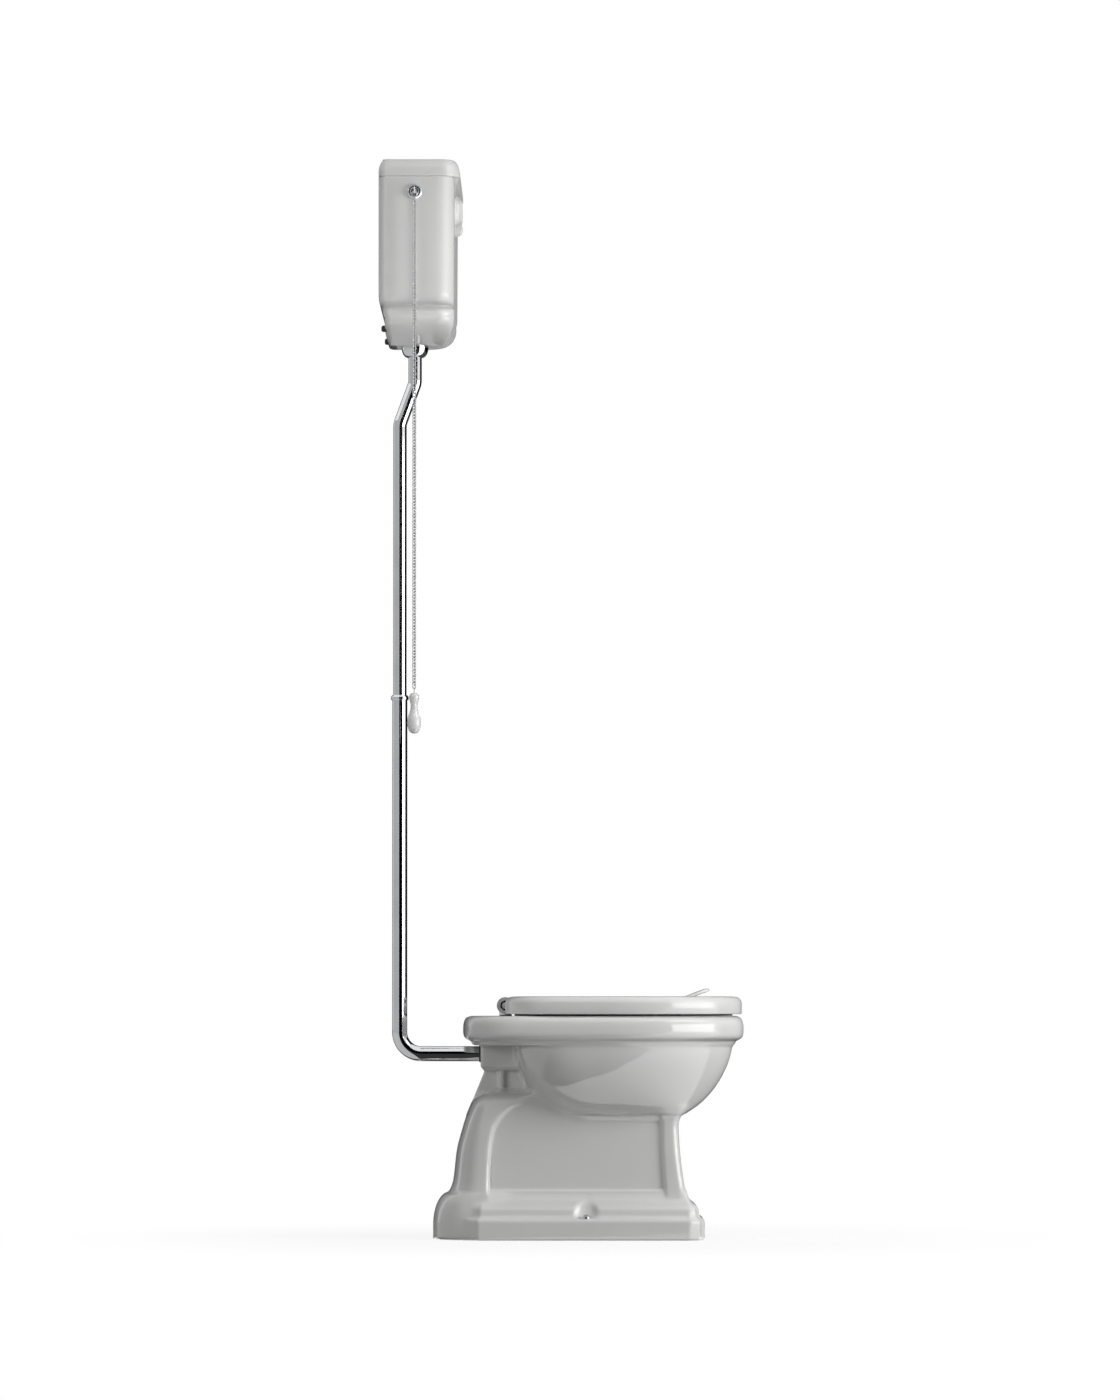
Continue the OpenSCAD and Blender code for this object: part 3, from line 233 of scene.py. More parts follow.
def valve_plastic():
    """Matt white plastic of the valve."""
    mat, tree, shader = material("valve_plastic", (0.75, 0.75, 0.73), 0.35)
    tint(tree, shader, noise(tree, 120, 3), (0.72, 0.72, 0.7), (0.78, 0.78, 0.76))
    bump(tree, shader, noise(tree, 1200, 2), 0.00004)
    return mat


# ---- meshes ----

def piece(name, verts, faces, mat, body, normals=None, replaces=()):
    """A smooth-shaded mesh piece in metres that rides on a body."""
    mesh = bpy.data.meshes.new(name)
    mesh.from_pydata([tuple(v) for v in verts], [], [tuple(f) for f in faces])
    mesh.polygons.foreach_set("use_smooth", [True] * len(mesh.polygons))
    if normals is not None:
        mesh.normals_split_custom_set_from_vertices([tuple(n) for n in normals])
    mesh.materials.append(mat)
    obj = bpy.data.objects.new(name, mesh)
    bpy.context.scene.collection.objects.link(obj)
    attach(obj, body)
    if replaces:
        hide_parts(*replaces)
    return obj


# ---- implicit solids, in millimetres on a grid ----

class Grid:
    """Sample points of a box that is symmetric about y = 0. Fields are worked out for y > 0."""

    def __init__(self, low, high, step):
        self.step = step
        self.low = np.array([low[0], -math.ceil(high[1] / step) * step + step / 2, low[2]])
        self.x = np.arange(low[0], high[0] + step, step)[:, None, None].astype(np.float32)
        self.y = (np.arange(math.ceil(high[1] / step)) * step + step / 2)[None, :, None].astype(np.float32)
        self.z = np.arange(low[2], high[2] + step, step)[None, None, :].astype(np.float32)

    def distance(self, field):
        """A field made to grow by about 1 per millimetre, so that blends keep their radius."""
        field = field + 0 * (self.x + self.y + self.z)
        slopes = np.gradient(field, self.step)
        size = np.sqrt(slopes[0] ** 2 + slopes[1] ** 2 + slopes[2] ** 2)
        return field / np.clip(size, 0.25, 8)


def blend(a, b, radius):
    """Union of two solids with a fillet."""
    h = np.maximum(radius - np.abs(a - b), 0) / radius
    return np.minimum(a, b) - h * h * radius / 4


def cut(a, b, radius):
    """Solid a without solid b, its new edge rounded."""
    return -blend(-a, b, radius)


def curve(points, t):
    """Smooth curve through (t, value) points in rising t, with no overshoot."""
    knots = np.array([p[0] for p in points], dtype=np.float64)
    values = np.array([p[1] for p in points], dtype=np.float64)
    gaps = np.diff(knots)
    rise = np.diff(values) / gaps
    slopes = np.zeros_like(values)
    same = rise[1:] * rise[:-1] > 0
    slopes[1:-1] = np.where(same, 2 * rise[1:] * rise[:-1] / np.where(same, rise[1:] + rise[:-1], 1), 0)
    slopes[0], slopes[-1] = rise[0], rise[-1]
    t = np.clip(t, knots[0], knots[-1])
    i = np.clip(np.searchsorted(knots, t, side="right") - 1, 0, len(gaps) - 1)
    s = (t - knots[i]) / gaps[i]
    h = gaps[i]
    result = ((2 * s**3 - 3 * s**2 + 1) * values[i] + (s**3 - 2 * s**2 + s) * h * slopes[i]
              + (3 * s**2 - 2 * s**3) * values[i + 1] + (s**3 - s**2) * h * slopes[i + 1])
    return result.astype(np.float32)


def oval(x, y, back, front, half, mid, n_back, n_front):
    """Plan outline with a squarish back and a round front, negative inside."""
    dx = x - mid
    n = np.where(dx > 0, n_front, n_back).astype(np.float32)
    reach = np.maximum(np.where(dx > 0, front - mid, mid - back), 5)
    g = (np.abs(dx) / reach) ** n + (np.abs(y) / half) ** n
    return np.sqrt(dx * dx + y * y) * (1 - np.maximum(g, 1e-5) ** (-1 / n))


def box(x, y, back, front, half, r_back, r_front):
    """Plan rectangle with round corners, negative inside."""
    mid = (back + front) / 2
    r = np.where(x > mid, r_front, r_back)
    qx = np.abs(x - mid) - (front - back) / 2 + r
    qy = np.abs(y) - half + r
    outside = np.sqrt(np.maximum(qx, 0) ** 2 + np.maximum(qy, 0) ** 2)
    return outside + np.minimum(np.maximum(qx, qy), 0) - r


def slab(z, low, high):
    """Space between two heights, negative inside."""
    return np.maximum(low - z, z - high)


CUBE = [(0, 0, 0), (1, 0, 0), (0, 1, 0), (1, 1, 0), (0, 0, 1), (1, 0, 1), (0, 1, 1), (1, 1, 1)]
CUBE_EDGES = [(a, b) for a in range(8) for b in range(a + 1, 8)
              if sum(abs(p - q) for p, q in zip(CUBE[a], CUBE[b])) == 1]


def sample(values, at):
    """Trilinear values of a grid array at points given in grid units."""
    i = np.clip(np.floor(at).astype(int), 0, np.array(values.shape[:3]) - 2)
    f = at - i
    total = 0
    for dx, dy, dz in CUBE:
        weight = ((f[:, 0] if dx else 1 - f[:, 0]) * (f[:, 1] if dy else 1 - f[:, 1])
                  * (f[:, 2] if dz else 1 - f[:, 2]))
        total = total + weight * values[i[:, 0] + dx, i[:, 1] + dy, i[:, 2] + dz]
    return total


def skin(grid, half_field):
    """Mesh of the surface where a field is zero: points in metres and quads, both halves."""
    field = np.concatenate([half_field[:, ::-1], half_field], axis=1)
    inside = field < 0
    size = [n - 1 for n in field.shape]
    corners = [inside[c[0]:c[0] + size[0], c[1]:c[1] + size[1], c[2]:c[2] + size[2]] for c in CUBE]
    count = sum(c.astype(np.int8) for c in corners)
    cells = np.argwhere((count > 0) & (count < 8))
    number = -np.ones(size, dtype=np.int64)
    number[cells[:, 0], cells[:, 1], cells[:, 2]] = np.arange(len(cells))
    total = np.zeros((len(cells), 3))
    crossings = np.zeros(len(cells))
    for a, b in CUBE_EDGES:
        pa, pb = np.array(CUBE[a]), np.array(CUBE[b])
        fa = field[tuple((cells + pa).T)]
        fb = field[tuple((cells + pb).T)]
        crosses = (fa < 0) != (fb < 0)
        t = np.where(crosses, fa / np.where(crosses, fa - fb, 1), 0)
        total += np.where(crosses[:, None], pa + t[:, None] * (pb - pa), 0)
        crossings += crosses
    at = cells + total / crossings[:, None]
    slopes = np.gradient(field)
    for _ in range(3):
        value = sample(field, at)
        slope = np.stack([sample(s, at) for s in slopes], axis=1)
        step = value[:, None] * slope / np.maximum((slope ** 2).sum(1), 1e-6)[:, None]
        at = at - np.clip(step, -0.5, 0.5)
    faces = []
    for axis in range(3):
        u, v = [(1, 2), (2, 0), (0, 1)][axis]
        first = [slice(1, -1)] * 3
        second = [slice(1, -1)] * 3
        first[axis], second[axis] = slice(0, -1), slice(1, None)
        change = inside[tuple(first)] != inside[tuple(second)]
        edges = np.argwhere(change)
        edges[:, u] += 1
        edges[:, v] += 1
        starts_in = inside[tuple(edges.T)]
        quad = []
        for du, dv in [(0, 0), (-1, 0), (-1, -1), (0, -1)]:
            cell = edges.copy()
            cell[:, u] += du
            cell[:, v] += dv
            quad.append(number[tuple(cell.T)])
        quad = np.stack(quad, axis=1)
        faces.append(np.where(starts_in[:, None], quad, quad[:, ::-1]))
    points = (grid.low + at * grid.step) * MM
    return points, np.concatenate(faces), (field, slopes)


def field_piece(name, grid, half_field, mat, body, replaces):
    """A piece from an implicit solid, shaded with the field's own normals."""
    points, faces, (field, slopes) = skin(grid, half_field)
    points[:, 2] = np.maximum(points[:, 2], 0)  # the grid would take the foot a hair through the floor
    at = (points / MM - grid.low) / grid.step
    normals = np.stack([sample(s, at) for s in slopes], axis=1)
    normals /= np.maximum(np.linalg.norm(normals, axis=1), 1e-9)[:, None]
    piece(name, points, faces, mat, body, normals, replaces)


# ---- lofts, sweeps and revolved shapes, in millimetres ----

FRONT_N = 2.15  # roundness of all the oval fronts; 2 is an ellipse


def quarter(steps, first=0):
    """Angles in radians from 0 to a right angle."""
    return [math.radians(90 * k / steps) for k in range(first, steps + 1)]


def quads(rings, count, closed):
    """Faces between rings of points, each with the same count, and caps on a row that isn't closed."""
    faces = []
    for k in range(rings if closed else rings - 1):
        a, b = k * count, (k + 1) % rings * count
        faces += [(a + i, a + (i + 1) % count, b + (i + 1) % count, b + i) for i in range(count)]
    if not closed:
        faces.append(tuple(range(count - 1, -1, -1)))
        faces.append(tuple((rings - 1) * count + i for i in range(count)))
    return faces


def loft(name, rings, mat, body, degrees, closed=False, replaces=()):
    """A piece through rings of points. Edges past an angle in degrees stay sharp."""
    points = [(p[0] * MM, p[1] * MM, p[2] * MM) for ring in rings for p in ring]
    obj = piece(name, points, quads(len(rings), len(rings[0]), closed), mat, body, replaces=replaces)
    obj.data.set_sharp_from_angle(angle=math.radians(degrees))


def oval_point(a, back, front, half, z, mid, n_back=4.5):
    """Point at an angle of a plan outline with a squarish back and a round front."""
    c, s = math.cos(a), math.sin(a)
    n = n_back if c < 0 else FRONT_N
    reach = mid - back if c < 0 else front - mid
    return (mid + math.copysign(reach * abs(c) ** (2 / n), c),
            math.copysign(half * abs(s) ** (2 / n), s), z)


def oval_ring(back, front, half, z, mid, n_back=4.5, count=160):
    """The whole outline at one height."""
    return [oval_point(2 * math.pi * (i + 0.5) / count, back, front, half, z, mid, n_back)
            for i in range(count)]


def box_ring(back, front, half, r_back, r_front, z):
    """Plan rectangle with round corners at one height."""
    steps = 12
    ring = []
    for x, y, r, start in [(front - r_front, r_front - half, r_front, -90),
                           (front - r_front, half - r_front, r_front, 0),
                           (back + r_back, half - r_back, r_back, 90),
                           (back + r_back, r_back - half, r_back, 180)]:
        for k in range(steps + 1):
            a = math.radians(start + 90 * k / steps)
            ring.append((x + r * math.cos(a), y + r * math.sin(a), z))
    return ring


def revolve(name, profile, centre, axis, mat, body, sides=64, degrees=35, closed=True, replaces=()):
    """Turns (radius, height) points round an axis through centre. Heights run along the axis."""
    axis = Vector(axis).normalized()
    side = axis.orthogonal().normalized()
    other = axis.cross(side)
    rings = []
    for r, h in profile:
        rings.append([tuple(Vector(centre) + axis * h + side * (r * math.cos(2 * math.pi * k / sides))
                            + other * (r * math.sin(2 * math.pi * k / sides))) for k in range(sides)])
    loft(name, rings, mat, body, degrees, closed, replaces)


def sweep(path, r, sides=64):
    """Rings of a round tube along a path in the plane y = constant."""
    rings = []
    for i, p in enumerate(path):
        a, b = path[max(i - 1, 0)], path[min(i + 1, len(path) - 1)]
        d = (Vector(b) - Vector(a)).normalized()
        u = Vector((0, 1, 0))
        v = d.cross(u)
        rings.append([tuple(Vector(p) + u * (r * math.sin(2 * math.pi * k / sides))
                            + v * (r * math.cos(2 * math.pi * k / sides))) for k in range(sides)])
    return rings


def arc(centre, r, start, end, steps):
    """Points of an arc in the plane y = 0, angles in degrees from +X towards +Z."""
    return [(centre[0] + r * math.cos(math.radians(start + (end - start) * k / steps)), 0,
             centre[1] + r * math.sin(math.radians(start + (end - start) * k / steps)))
            for k in range(steps + 1)]


# ---- sizes from the part, in millimetres ----

# pan: rim, bowl, pedestal, plinth and wall thickness
RIM_Z, RIM_UNDER, RIM_H = 411, 357, 54
RIM_BACK, RIM_FRONT, RIM_HW = 152, 670, 192
BOWL_BACK, BOWL_FRONT, BOWL_MID, BOWL_H = 246, 649, 401, 130
NECK_FRONT, NECK_Z, SUMP_H = 547, 227, 131
BACK_RUN, FRONT_RUN = 75, BOWL_FRONT - NECK_FRONT
PANEL_HW, PLINTH_H, CHINA = 82, 82, 12
WASTE_X, INLET_Z, SCREW_X = 190, 341, 378
# seat and lid
SEAT_BACK, SEAT_FRONT, SEAT_MID, SEAT_HW, SEAT_Z, SEAT_H = 245, 655, 409, 175, 415, 20
LID_BACK, LID_FRONT, LID_HW, LID_TOP = 227, 667, 187, 447
# cistern
TANK_TOP, TANK_Z, SHOULDER_Z, CISTERN_TOP = 1940, 1641, 1707, 1972
TANK_D, TANK_HW, LOWER_HW, TANK_WALL = 138, 222, 150, 9
# pipe, lever and chain
OUTLET_X, OUTLET_Z, PIPE_X = 62, 1649, 34
LEVER_X, LEVER_Z = 66, 1911
HOOK_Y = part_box("pull_handle")[0][1] * 500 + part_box("pull_handle")[1][1] * 500


# ---- pan ----

# how far in the surface lies at a share of the rim's height
RIM_PROFILE = [(0, 20), (0.04, 16), (0.12, 15), (0.16, 11), (0.24, 4), (0.34, 0.8), (0.46, 0),
               (0.62, 0), (0.78, 1.2), (0.9, 4), (0.97, 8), (1, 13), (1.1, 22)]
# share of the height, then how far the rear, front and side move from the column's foot
COLUMN = [(-0.2, -4, 0, 16), (0, 0, 0, 14), (0.13, 8, 0, 11), (0.42, 15, 4, 9), (0.62, 25, 13, 8.5),
          (0.72, 31, 28, 8), (0.81, 38, 50, 7), (0.865, 43, 80, 5), (0.9, 48, 108, 1), (0.93, 54, 122, -8),
          (0.96, 63, 120, -24), (0.988, 76, 100, -46), (1, 90, 80, -66)]
# height and how far in the surface lies
PLINTH = [(-6, 1.5), (1.5, 0), (34, 0), (38, 1.5), (40, 5), (44, 9), (56, 11), (62, 15), (70, 24),
          (77, 29), (82, 31), (86, 33), (100, 36)]
# share of the depth, then length and width as shares of the neck's
SUMP = [(0.1, 1, 0.88), (0.32, 0.7, 0.68), (0.55, 0.52, 0.57), (0.8, 0.44, 0.51), (0.95, 0.37, 0.41),
        (1, 0.24, 0.24)]


def bulge(t):
    """Fullness of the bowl, from 1 at its rim (t = 0) to 0 at the neck (t = 1)."""
    return np.maximum(1 - np.clip(t, 0, 1) ** 1.6, 0) ** (1 / 1.6)


def bowl_space(x, y, z):
    """Inside of the bowl: levels of [height, back, front, half width, middle, squareness]."""
    levels = []
    for down, long, wide in reversed(SUMP):
        back = BOWL_BACK + 42 + 18 * down + 70 * down ** 12 * long
        levels.append((NECK_Z - SUMP_H * down, back, back + 211 * long, 82 * wide, back + 105 * long, 2.3))
    for t in (0.93, 0.85, 0.72, 0.55, 0.35, 0.1):
        b = float(bulge(t))
        low = 24 * max(t - 0.6, 0) / 0.33
        levels.append((RIM_UNDER - t * BOWL_H, BOWL_BACK + BACK_RUN * (1 - b) + CHINA + low / 2,
                       NECK_FRONT + FRONT_RUN * b - CHINA - 6 * t - low, PANEL_HW + 93 * b - CHINA - low,
                       BOWL_MID, 2.1 + 1.7 * b * b))
    levels += [(height, back, front, half, BOWL_MID, n) for height, back, front, half, n in (
        (369, 264, 635, 163, 4), (374, 280, 631, 152, 3.4), (377, 284, 627, 148, 3.4),
        (402, 284, 627, 148, 3.4), (408, 282, 629, 150, 3.4), (412, 277, 634, 155, 3.4))]
    back, front, half, mid, n = [curve([(row[0], row[k]) for row in levels], z) for k in range(1, 6)]
    return np.maximum(oval(x, y, back, front, half, mid, n, FRONT_N), NECK_Z - SUMP_H - z)


def trap_space(x, y, z):
    """The trap's passage, a round tube along a path in the plane y = 0."""
    bend, bore = 39, 30
    path = [(351, 127)]
    for mid_x, mid_z, turns in [(312, 166, (-90, -113, -136, -160)),
                                (229, 182, (20, 50, 80, 110, 140, 160, 180))]:
        path += [(mid_x + bend * math.cos(a), mid_z + bend * math.sin(a)) for a in np.radians(turns)]
    path += [(WASTE_X, 48)]
    nearest = None
    for a, b in zip(path, path[1:]):
        d = (b[0] - a[0], b[1] - a[1])
        t = np.clip(((x - a[0]) * d[0] + (z - a[1]) * d[1]) / (d[0] ** 2 + d[1] ** 2), 0, 1)
        gap = (x - a[0] - t * d[0]) ** 2 + (z - a[1] - t * d[1]) ** 2
        nearest = gap if nearest is None else np.minimum(nearest, gap)
    return np.sqrt(nearest + y * y) - bore


def bar(x, y, z, a, b, ra, rb):
    """Tapered round bar from a to b."""
    d = [q - p for p, q in zip(a, b)]
    t = np.clip(((x - a[0]) * d[0] + (y - a[1]) * d[1] + (z - a[2]) * d[2]) / sum(v * v for v in d), 0, 1)
    gap = (x - a[0] - t * d[0]) ** 2 + (y - a[1] - t * d[1]) ** 2 + (z - a[2] - t * d[2]) ** 2
    return np.sqrt(gap) - (ra + (rb - ra) * t)


def pan_field(g):
    """The whole pan, negative in the china."""
    x, y, z = g.x, g.y, g.z
    # rim and deck, with the roll's moulding
    plan = g.distance(oval(x, y, RIM_BACK, RIM_FRONT, RIM_HW, BOWL_MID, 4.5, FRONT_N))
    rim = np.maximum(plan + curve(RIM_PROFILE, (z - RIM_UNDER) / RIM_H), slab(z, RIM_UNDER, RIM_Z))
    rim = g.distance(rim)
    # bowl
    t = (RIM_UNDER + 1 - z) / BOWL_H
    b = bulge(t)
    bowl = oval(x, y, BOWL_BACK + BACK_RUN * (1 - b), NECK_FRONT + FRONT_RUN * b, PANEL_HW + 4 + 89 * b,
                BOWL_MID, 2.1 + 1.7 * b * b, FRONT_N + 3 * (1 - b) ** 2.5)
    bowl = g.distance(np.maximum(bowl, slab(z, NECK_Z, RIM_UNDER + 6)))
    # pedestal with its front pilaster
    s = (z - PLINTH_H) / 151
    f = (1 - np.clip(s, 0, 1)) ** 2
    core = np.maximum(box(x, y, 200, NECK_FRONT + 14 * f, PANEL_HW + 4 * f, 10, 14), slab(z, 20, 236))
    back = curve([(-12, 0), (4, 0), (20, 20), (36, 58), (46, 90)], z - NECK_Z)
    upper = np.maximum(box(x, y, 204 + back, NECK_FRONT - 60, PANEL_HW - 0.5, 10, 14), slab(z, 210, 266))
    core = np.minimum(core, upper)
    flare = np.clip((z - 203) / 36, 0, 1) ** 2
    pilaster = box(x, y, 517 + 8 * f - 6 * flare, NECK_FRONT + 15 * f + 13 * flare,
                   PANEL_HW + 6 + 5 * f + 3 * flare, 5, 13)
    pilaster = np.maximum(pilaster, slab(z, 20, 243))
    # column that leans over as the trap's hump
    level = (z - PLINTH_H) / 195
    rear, front, half = [curve([(row[0], row[k]) for row in COLUMN], level) for k in (1, 2, 3)]
    column = oval(x, y, 125 + rear, 202 + front, PANEL_HW + half,
                  np.maximum(192 + front / 6, 145 + rear), 2.5, 4.5)
    column = g.distance(np.maximum(column, slab(z, 50, 277)))
    # plinth with moulded front corners, and its round rear shoulder
    foot = box(x, y, 158, 596, 122, 2, 2)
    foot = np.maximum(foot, ((x - 569) * 7.6 + (y - 122) * 17.5) / 19.08)
    inner = np.minimum(((x - 586.5) * 11.3 + (y - 114.4) * 3.8) / 11.92,
                       ((x - 590.3) * 8.1 + (y - 103.1) * 5.7) / 9.9)
    foot = np.maximum(np.maximum(foot, inner), (y - 122 - x + 180) * 0.7071)
    plinth = g.distance(np.maximum(foot + curve(PLINTH, z), slab(z, 0, 90)))
    lean = 1 - np.sqrt(np.maximum(1 - np.clip((z - 26) / 60, 0, 1) ** 2, 0))
    shoulder = oval(x, y, 96 + 30 * lean, 300, 104 - 14 * lean, 190, 2.6, FRONT_N)
    shoulder = g.distance(np.maximum(shoulder, slab(z, 0, 86)))
    base = blend(g.distance(core), g.distance(pilaster), 4)
    base = blend(base, column, 4)
    base = blend(base, plinth, 6)
    base = blend(base, shoulder, 7)
    body = blend(rim, bowl, 7)
    body = blend(body, base, 13)
    # flush inlet block, the web below it and its rib
    block = np.maximum(box(x, y, 184, 266, 30, 4, 4), slab(z, 315, 372))
    block = np.minimum(block, np.maximum(box(x, y, 187.5, 266, 26, 4, 4), slab(z, 311, 372)))
    body = blend(body, block, 5)
    web = np.maximum(y - 4.5, slab(z, 228, 320))
    web = np.maximum(np.maximum(web, (162 + (z - 238) * 0.408 - x) * 0.926), x - 290)
    rib = np.maximum(box(x, y, 217, 227, 18, 3, 3), slab(z, 247, 320))
    body = blend(blend(body, web, 4), rib, 4)
    # what is open: the bowl, the trap, the base, the waste, the inlet and the pockets
    space, trap = g.distance(bowl_space(x, y, z)), trap_space(x, y, z)
    p = curve([(-6, 0), (32, 0), (74, 34), (86, 44)], z)
    hollow = np.maximum(box(x, y, 174 + p / 2, 578 - p, 110 - p, 20, 24), z - 86)
    column_room = np.maximum(box(x, y, 172, 534 + 14 * f, 70 + 4 * f, 40, 9), slab(z, 36, 225))
    hollow = np.minimum(hollow, column_room)
    pipe = np.sqrt((x - WASTE_X) ** 2 + y * y)
    post = np.sqrt(((x - SCREW_X) * 0.55) ** 2 + (y - 106) ** 2)
    for kept in (space - CHINA, trap - CHINA, np.maximum(pipe - 56, z - 77), post - 20):
        hollow = np.maximum(hollow, -kept)
    body = cut(body, space, 7)
    body = cut(body, trap, 3)
    body = cut(body, hollow, 2)
    body = cut(body, np.maximum(pipe - 47.2, z - 53), 2)
    ring = np.sqrt(y * y + (z - INLET_Z) ** 2)
    body = cut(body, np.minimum(np.maximum(ring - 19, x - 215), np.maximum(ring - 15, x - 258)), 2)
    body = cut(body, np.maximum(box(x, y - 77.5, 208, 244, 24, 4, 4), slab(z, 300, 396)), 2)
    wide = SCREW_X + (x - SCREW_X) * 0.6
    scoop = np.maximum(bar(wide, y, z, (SCREW_X, 117, 51), (SCREW_X + 2, 97, 84), 14, 5), 41 - z)
    return cut(body, scoop, 4)


# ---- camera and finishes ----

make_camera()
CHINA_MAT, SEAT_MAT, CHROME = glazed_china(), lacquered_seat(), chrome()
SATIN, CHAIN, BRASS = satin_chrome(), chain_metal(), brass()
COPPER, RUBBER, PLASTIC = copper(), rubber(), valve_plastic()


# ---- pull chain ----

def make_chain():
    """Small oval links, each turned a quarter from the last."""
    low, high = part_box("pull_chain")
    x, y = (low[0] + high[0]) / 2, (low[1] + high[1]) / 2
    bottom, top = low[2], high[2]
    count, turns, sides = 158, 16, 6
    wire, half_wide, end_gap = 0.00105, 0.0036, 0.0008
    pitch = (top - bottom - 2 * wire - 2 * end_gap) / count
    half_long = pitch / 2 + wire + 0.0002
    verts, faces = [], []
    for link in range(count):
        z = bottom + wire + end_gap + pitch * (link + 0.5)
        across = (0.766, -0.643) if link % 2 else (0.643, 0.766)  # 40 and 50 degrees off +X
        start = len(verts)
        for i in range(turns):
            a = 2 * math.pi * i / turns
            c, s = math.cos(a), math.sin(a)
            straight = half_long - half_wide
            centre = (half_wide * c, (straight if s > 0 else -straight) + half_wide * s)
            for j in range(sides):
                b = 2 * math.pi * j / sides
                out = wire * math.cos(b)
                u, v = centre[0] + c * out, centre[1] + s * out
                w = wire * math.sin(b)
                verts.append((x + across[0] * u - across[1] * w, y + across[1] * u + across[0] * w, z + v))
        for i in range(turns):
            for j in range(sides):
                a, b = start + i * sides, start + (i + 1) % turns * sides
                faces.append((a + j, b + j, b + (j + 1) % sides, a + (j + 1) % sides))
    chain = piece("pull_chain_links", verts, faces, CHAIN, "pull", replaces=("pull_chain",))


make_chain()


# ---- china of the pan ----

pan_grid = Grid(low=(78, 0, -12), high=(690, 206, 424), step=3)
field_piece("pan_china", pan_grid, pan_field(pan_grid), CHINA_MAT, "toilet", replaces=("pan",))


# ---- seat and lid ----

def make_seat():
    """Seat ring. Its section is given in shares of the ring's width and height."""
    land = 64
    section = [(0.05, 0.02), (0.01, 0.12), (0, 0.3), (0, 0.62), (0.02, 0.78), (0.06, 0.9), (0.12, 0.96),
               (0.2, 0.99), (0.4, 1), (0.56, 0.98), (0.72, 0.93), (0.84, 0.85), (0.93, 0.73), (0.985, 0.6),
               (1, 0.46), (0.99, 0.25), (0.96, 0.1), (0.9, 0.02), (0.5, 0)]
    rings = [oval_ring(SEAT_BACK + 0.89 * inset * land, SEAT_FRONT - inset * land, SEAT_HW - inset * land,
                       SEAT_Z + rise * SEAT_H, SEAT_MID) for inset, rise in section]
    loft("seat_ring_moulding", rings[::-1], SEAT_MAT, "seat", 40, closed=True,
         replaces=("seat_ring",))


def lid_ring(inset, z):
    """Outline of the lid, moved in, at one height."""
    return oval_ring(LID_BACK + inset, LID_FRONT - inset, LID_HW - inset, z, SEAT_MID, 5, count=220)


def make_lid():
    """Seat lid with a skirt round its edge."""
    edge_z = LID_TOP - 14
    under = [lid_ring(inset, z) for inset, z in (
        (15, 440), (11, 439.6), (8.6, 438), (7, edge_z), (7, 417), (6.3, 415), (5, 414.2), (2, 414.2),
        (0.6, 415), (0, 416.6))]
    outer = [lid_ring(13 * (1 - math.cos(a)), edge_z + 13.4 * math.sin(a)) for a in quarter(12, 1)]
    top = [lid_ring(17, LID_TOP - 0.25)] + [lid_ring(inset, LID_TOP) for inset in (24, 60, 110, 160)]
    # the rear edge is open between the hinges
    notch_x, notch_half = 251.5, 107
    clipped = []
    for ring in under + outer + top:
        clipped.append([(max(x, notch_x) if abs(y) < notch_half + 4 else x, y, z) for x, y, z in ring])
    loft("seat_lid_moulding", clipped, SEAT_MAT, "lid", 40, replaces=("seat_lid",))


def make_tab():
    """Finger tab on the lid, a thin upturned lip that grows out of its top."""
    x0, z0, half, sides = 561, LID_TOP, 27, 48
    rise_at = [(0, -3.6), (0.2, -1.6), (0.4, 1.6), (0.6, 5.6), (0.8, 9.6), (1, 12.4)]
    thick_at = [(0, 1), (0.2, 2.6), (0.5, 3.8), (0.8, 3.8), (0.95, 2.9), (1, 1.3)]
    shares = 1 - (1 - np.linspace(0, 1, 17)) ** 1.5
    lifts, depths = curve(rise_at, shares), curve(thick_at, shares)
    spine = [(x0 - 8 + 54 * float(t), z0 + float(up), float(deep))
             for t, up, deep in zip(shares, lifts, depths)]
    rings = []
    for k, (x, z, thick) in enumerate(spine):
        share = float(shares[k])
        wide = half * math.sqrt(1 - 0.88 * share ** 6) + 3 * (1 - share) ** 3
        a, b = spine[max(k - 1, 0)], spine[min(k + 1, len(spine) - 1)]
        tilt = math.atan2(b[1] - a[1], b[0] - a[0])
        ring = []
        for i in range(sides):
            turn = 2 * math.pi * i / sides
            c, s = math.cos(turn), math.sin(turn)
            side = math.copysign(abs(c) ** 0.5, c) * wide
            rise = math.copysign(abs(s) ** 0.8, s) * thick
            ring.append((x - rise * math.sin(tilt), side, z + rise * math.cos(tilt)))
        rings.append(ring)
    loft("lid_finger_tab", rings, SEAT_MAT, "lid", 50)


def make_gap_shade_strips():
    """Black strips shaped as rubber cushions under the seat, one along each side: painted shade, a dark
    line in the gap between the seat and the rim.
    """
    section = ((0, 411.4), (0, 414.6), (7, 414.6), (7, 411.4))
    angles = [math.radians(-172 + 344 * k / 60) for k in range(61)]
    rings = [[oval_point(a, SEAT_BACK + 1 + inset, SEAT_FRONT - 5 - inset, SEAT_HW - 9 - inset, z, SEAT_MID)
              for inset, z in section] for a in angles]
    # painted shade: each strip darkens the gap between the seat and the rim
    for side, name in ((-1, "seat_gap_shade_near"), (1, "seat_gap_shade_far")):
        half = [ring for ring in rings if side * ring[0][1] > 0.5]
        loft(name, half, RUBBER, "seat", 30)


make_seat()
make_lid()
make_tab()
make_gap_shade_strips()


# ---- cistern ----

def tank_ring(back, front_in, half, inset, z, r=34):
    """Outline of the tank, moved in, at one height."""
    return box_ring(back + inset, TANK_D - front_in - inset, half - inset, max(r - inset, 3) * 0.35 + 1,
                    max(r - inset, 3), z)


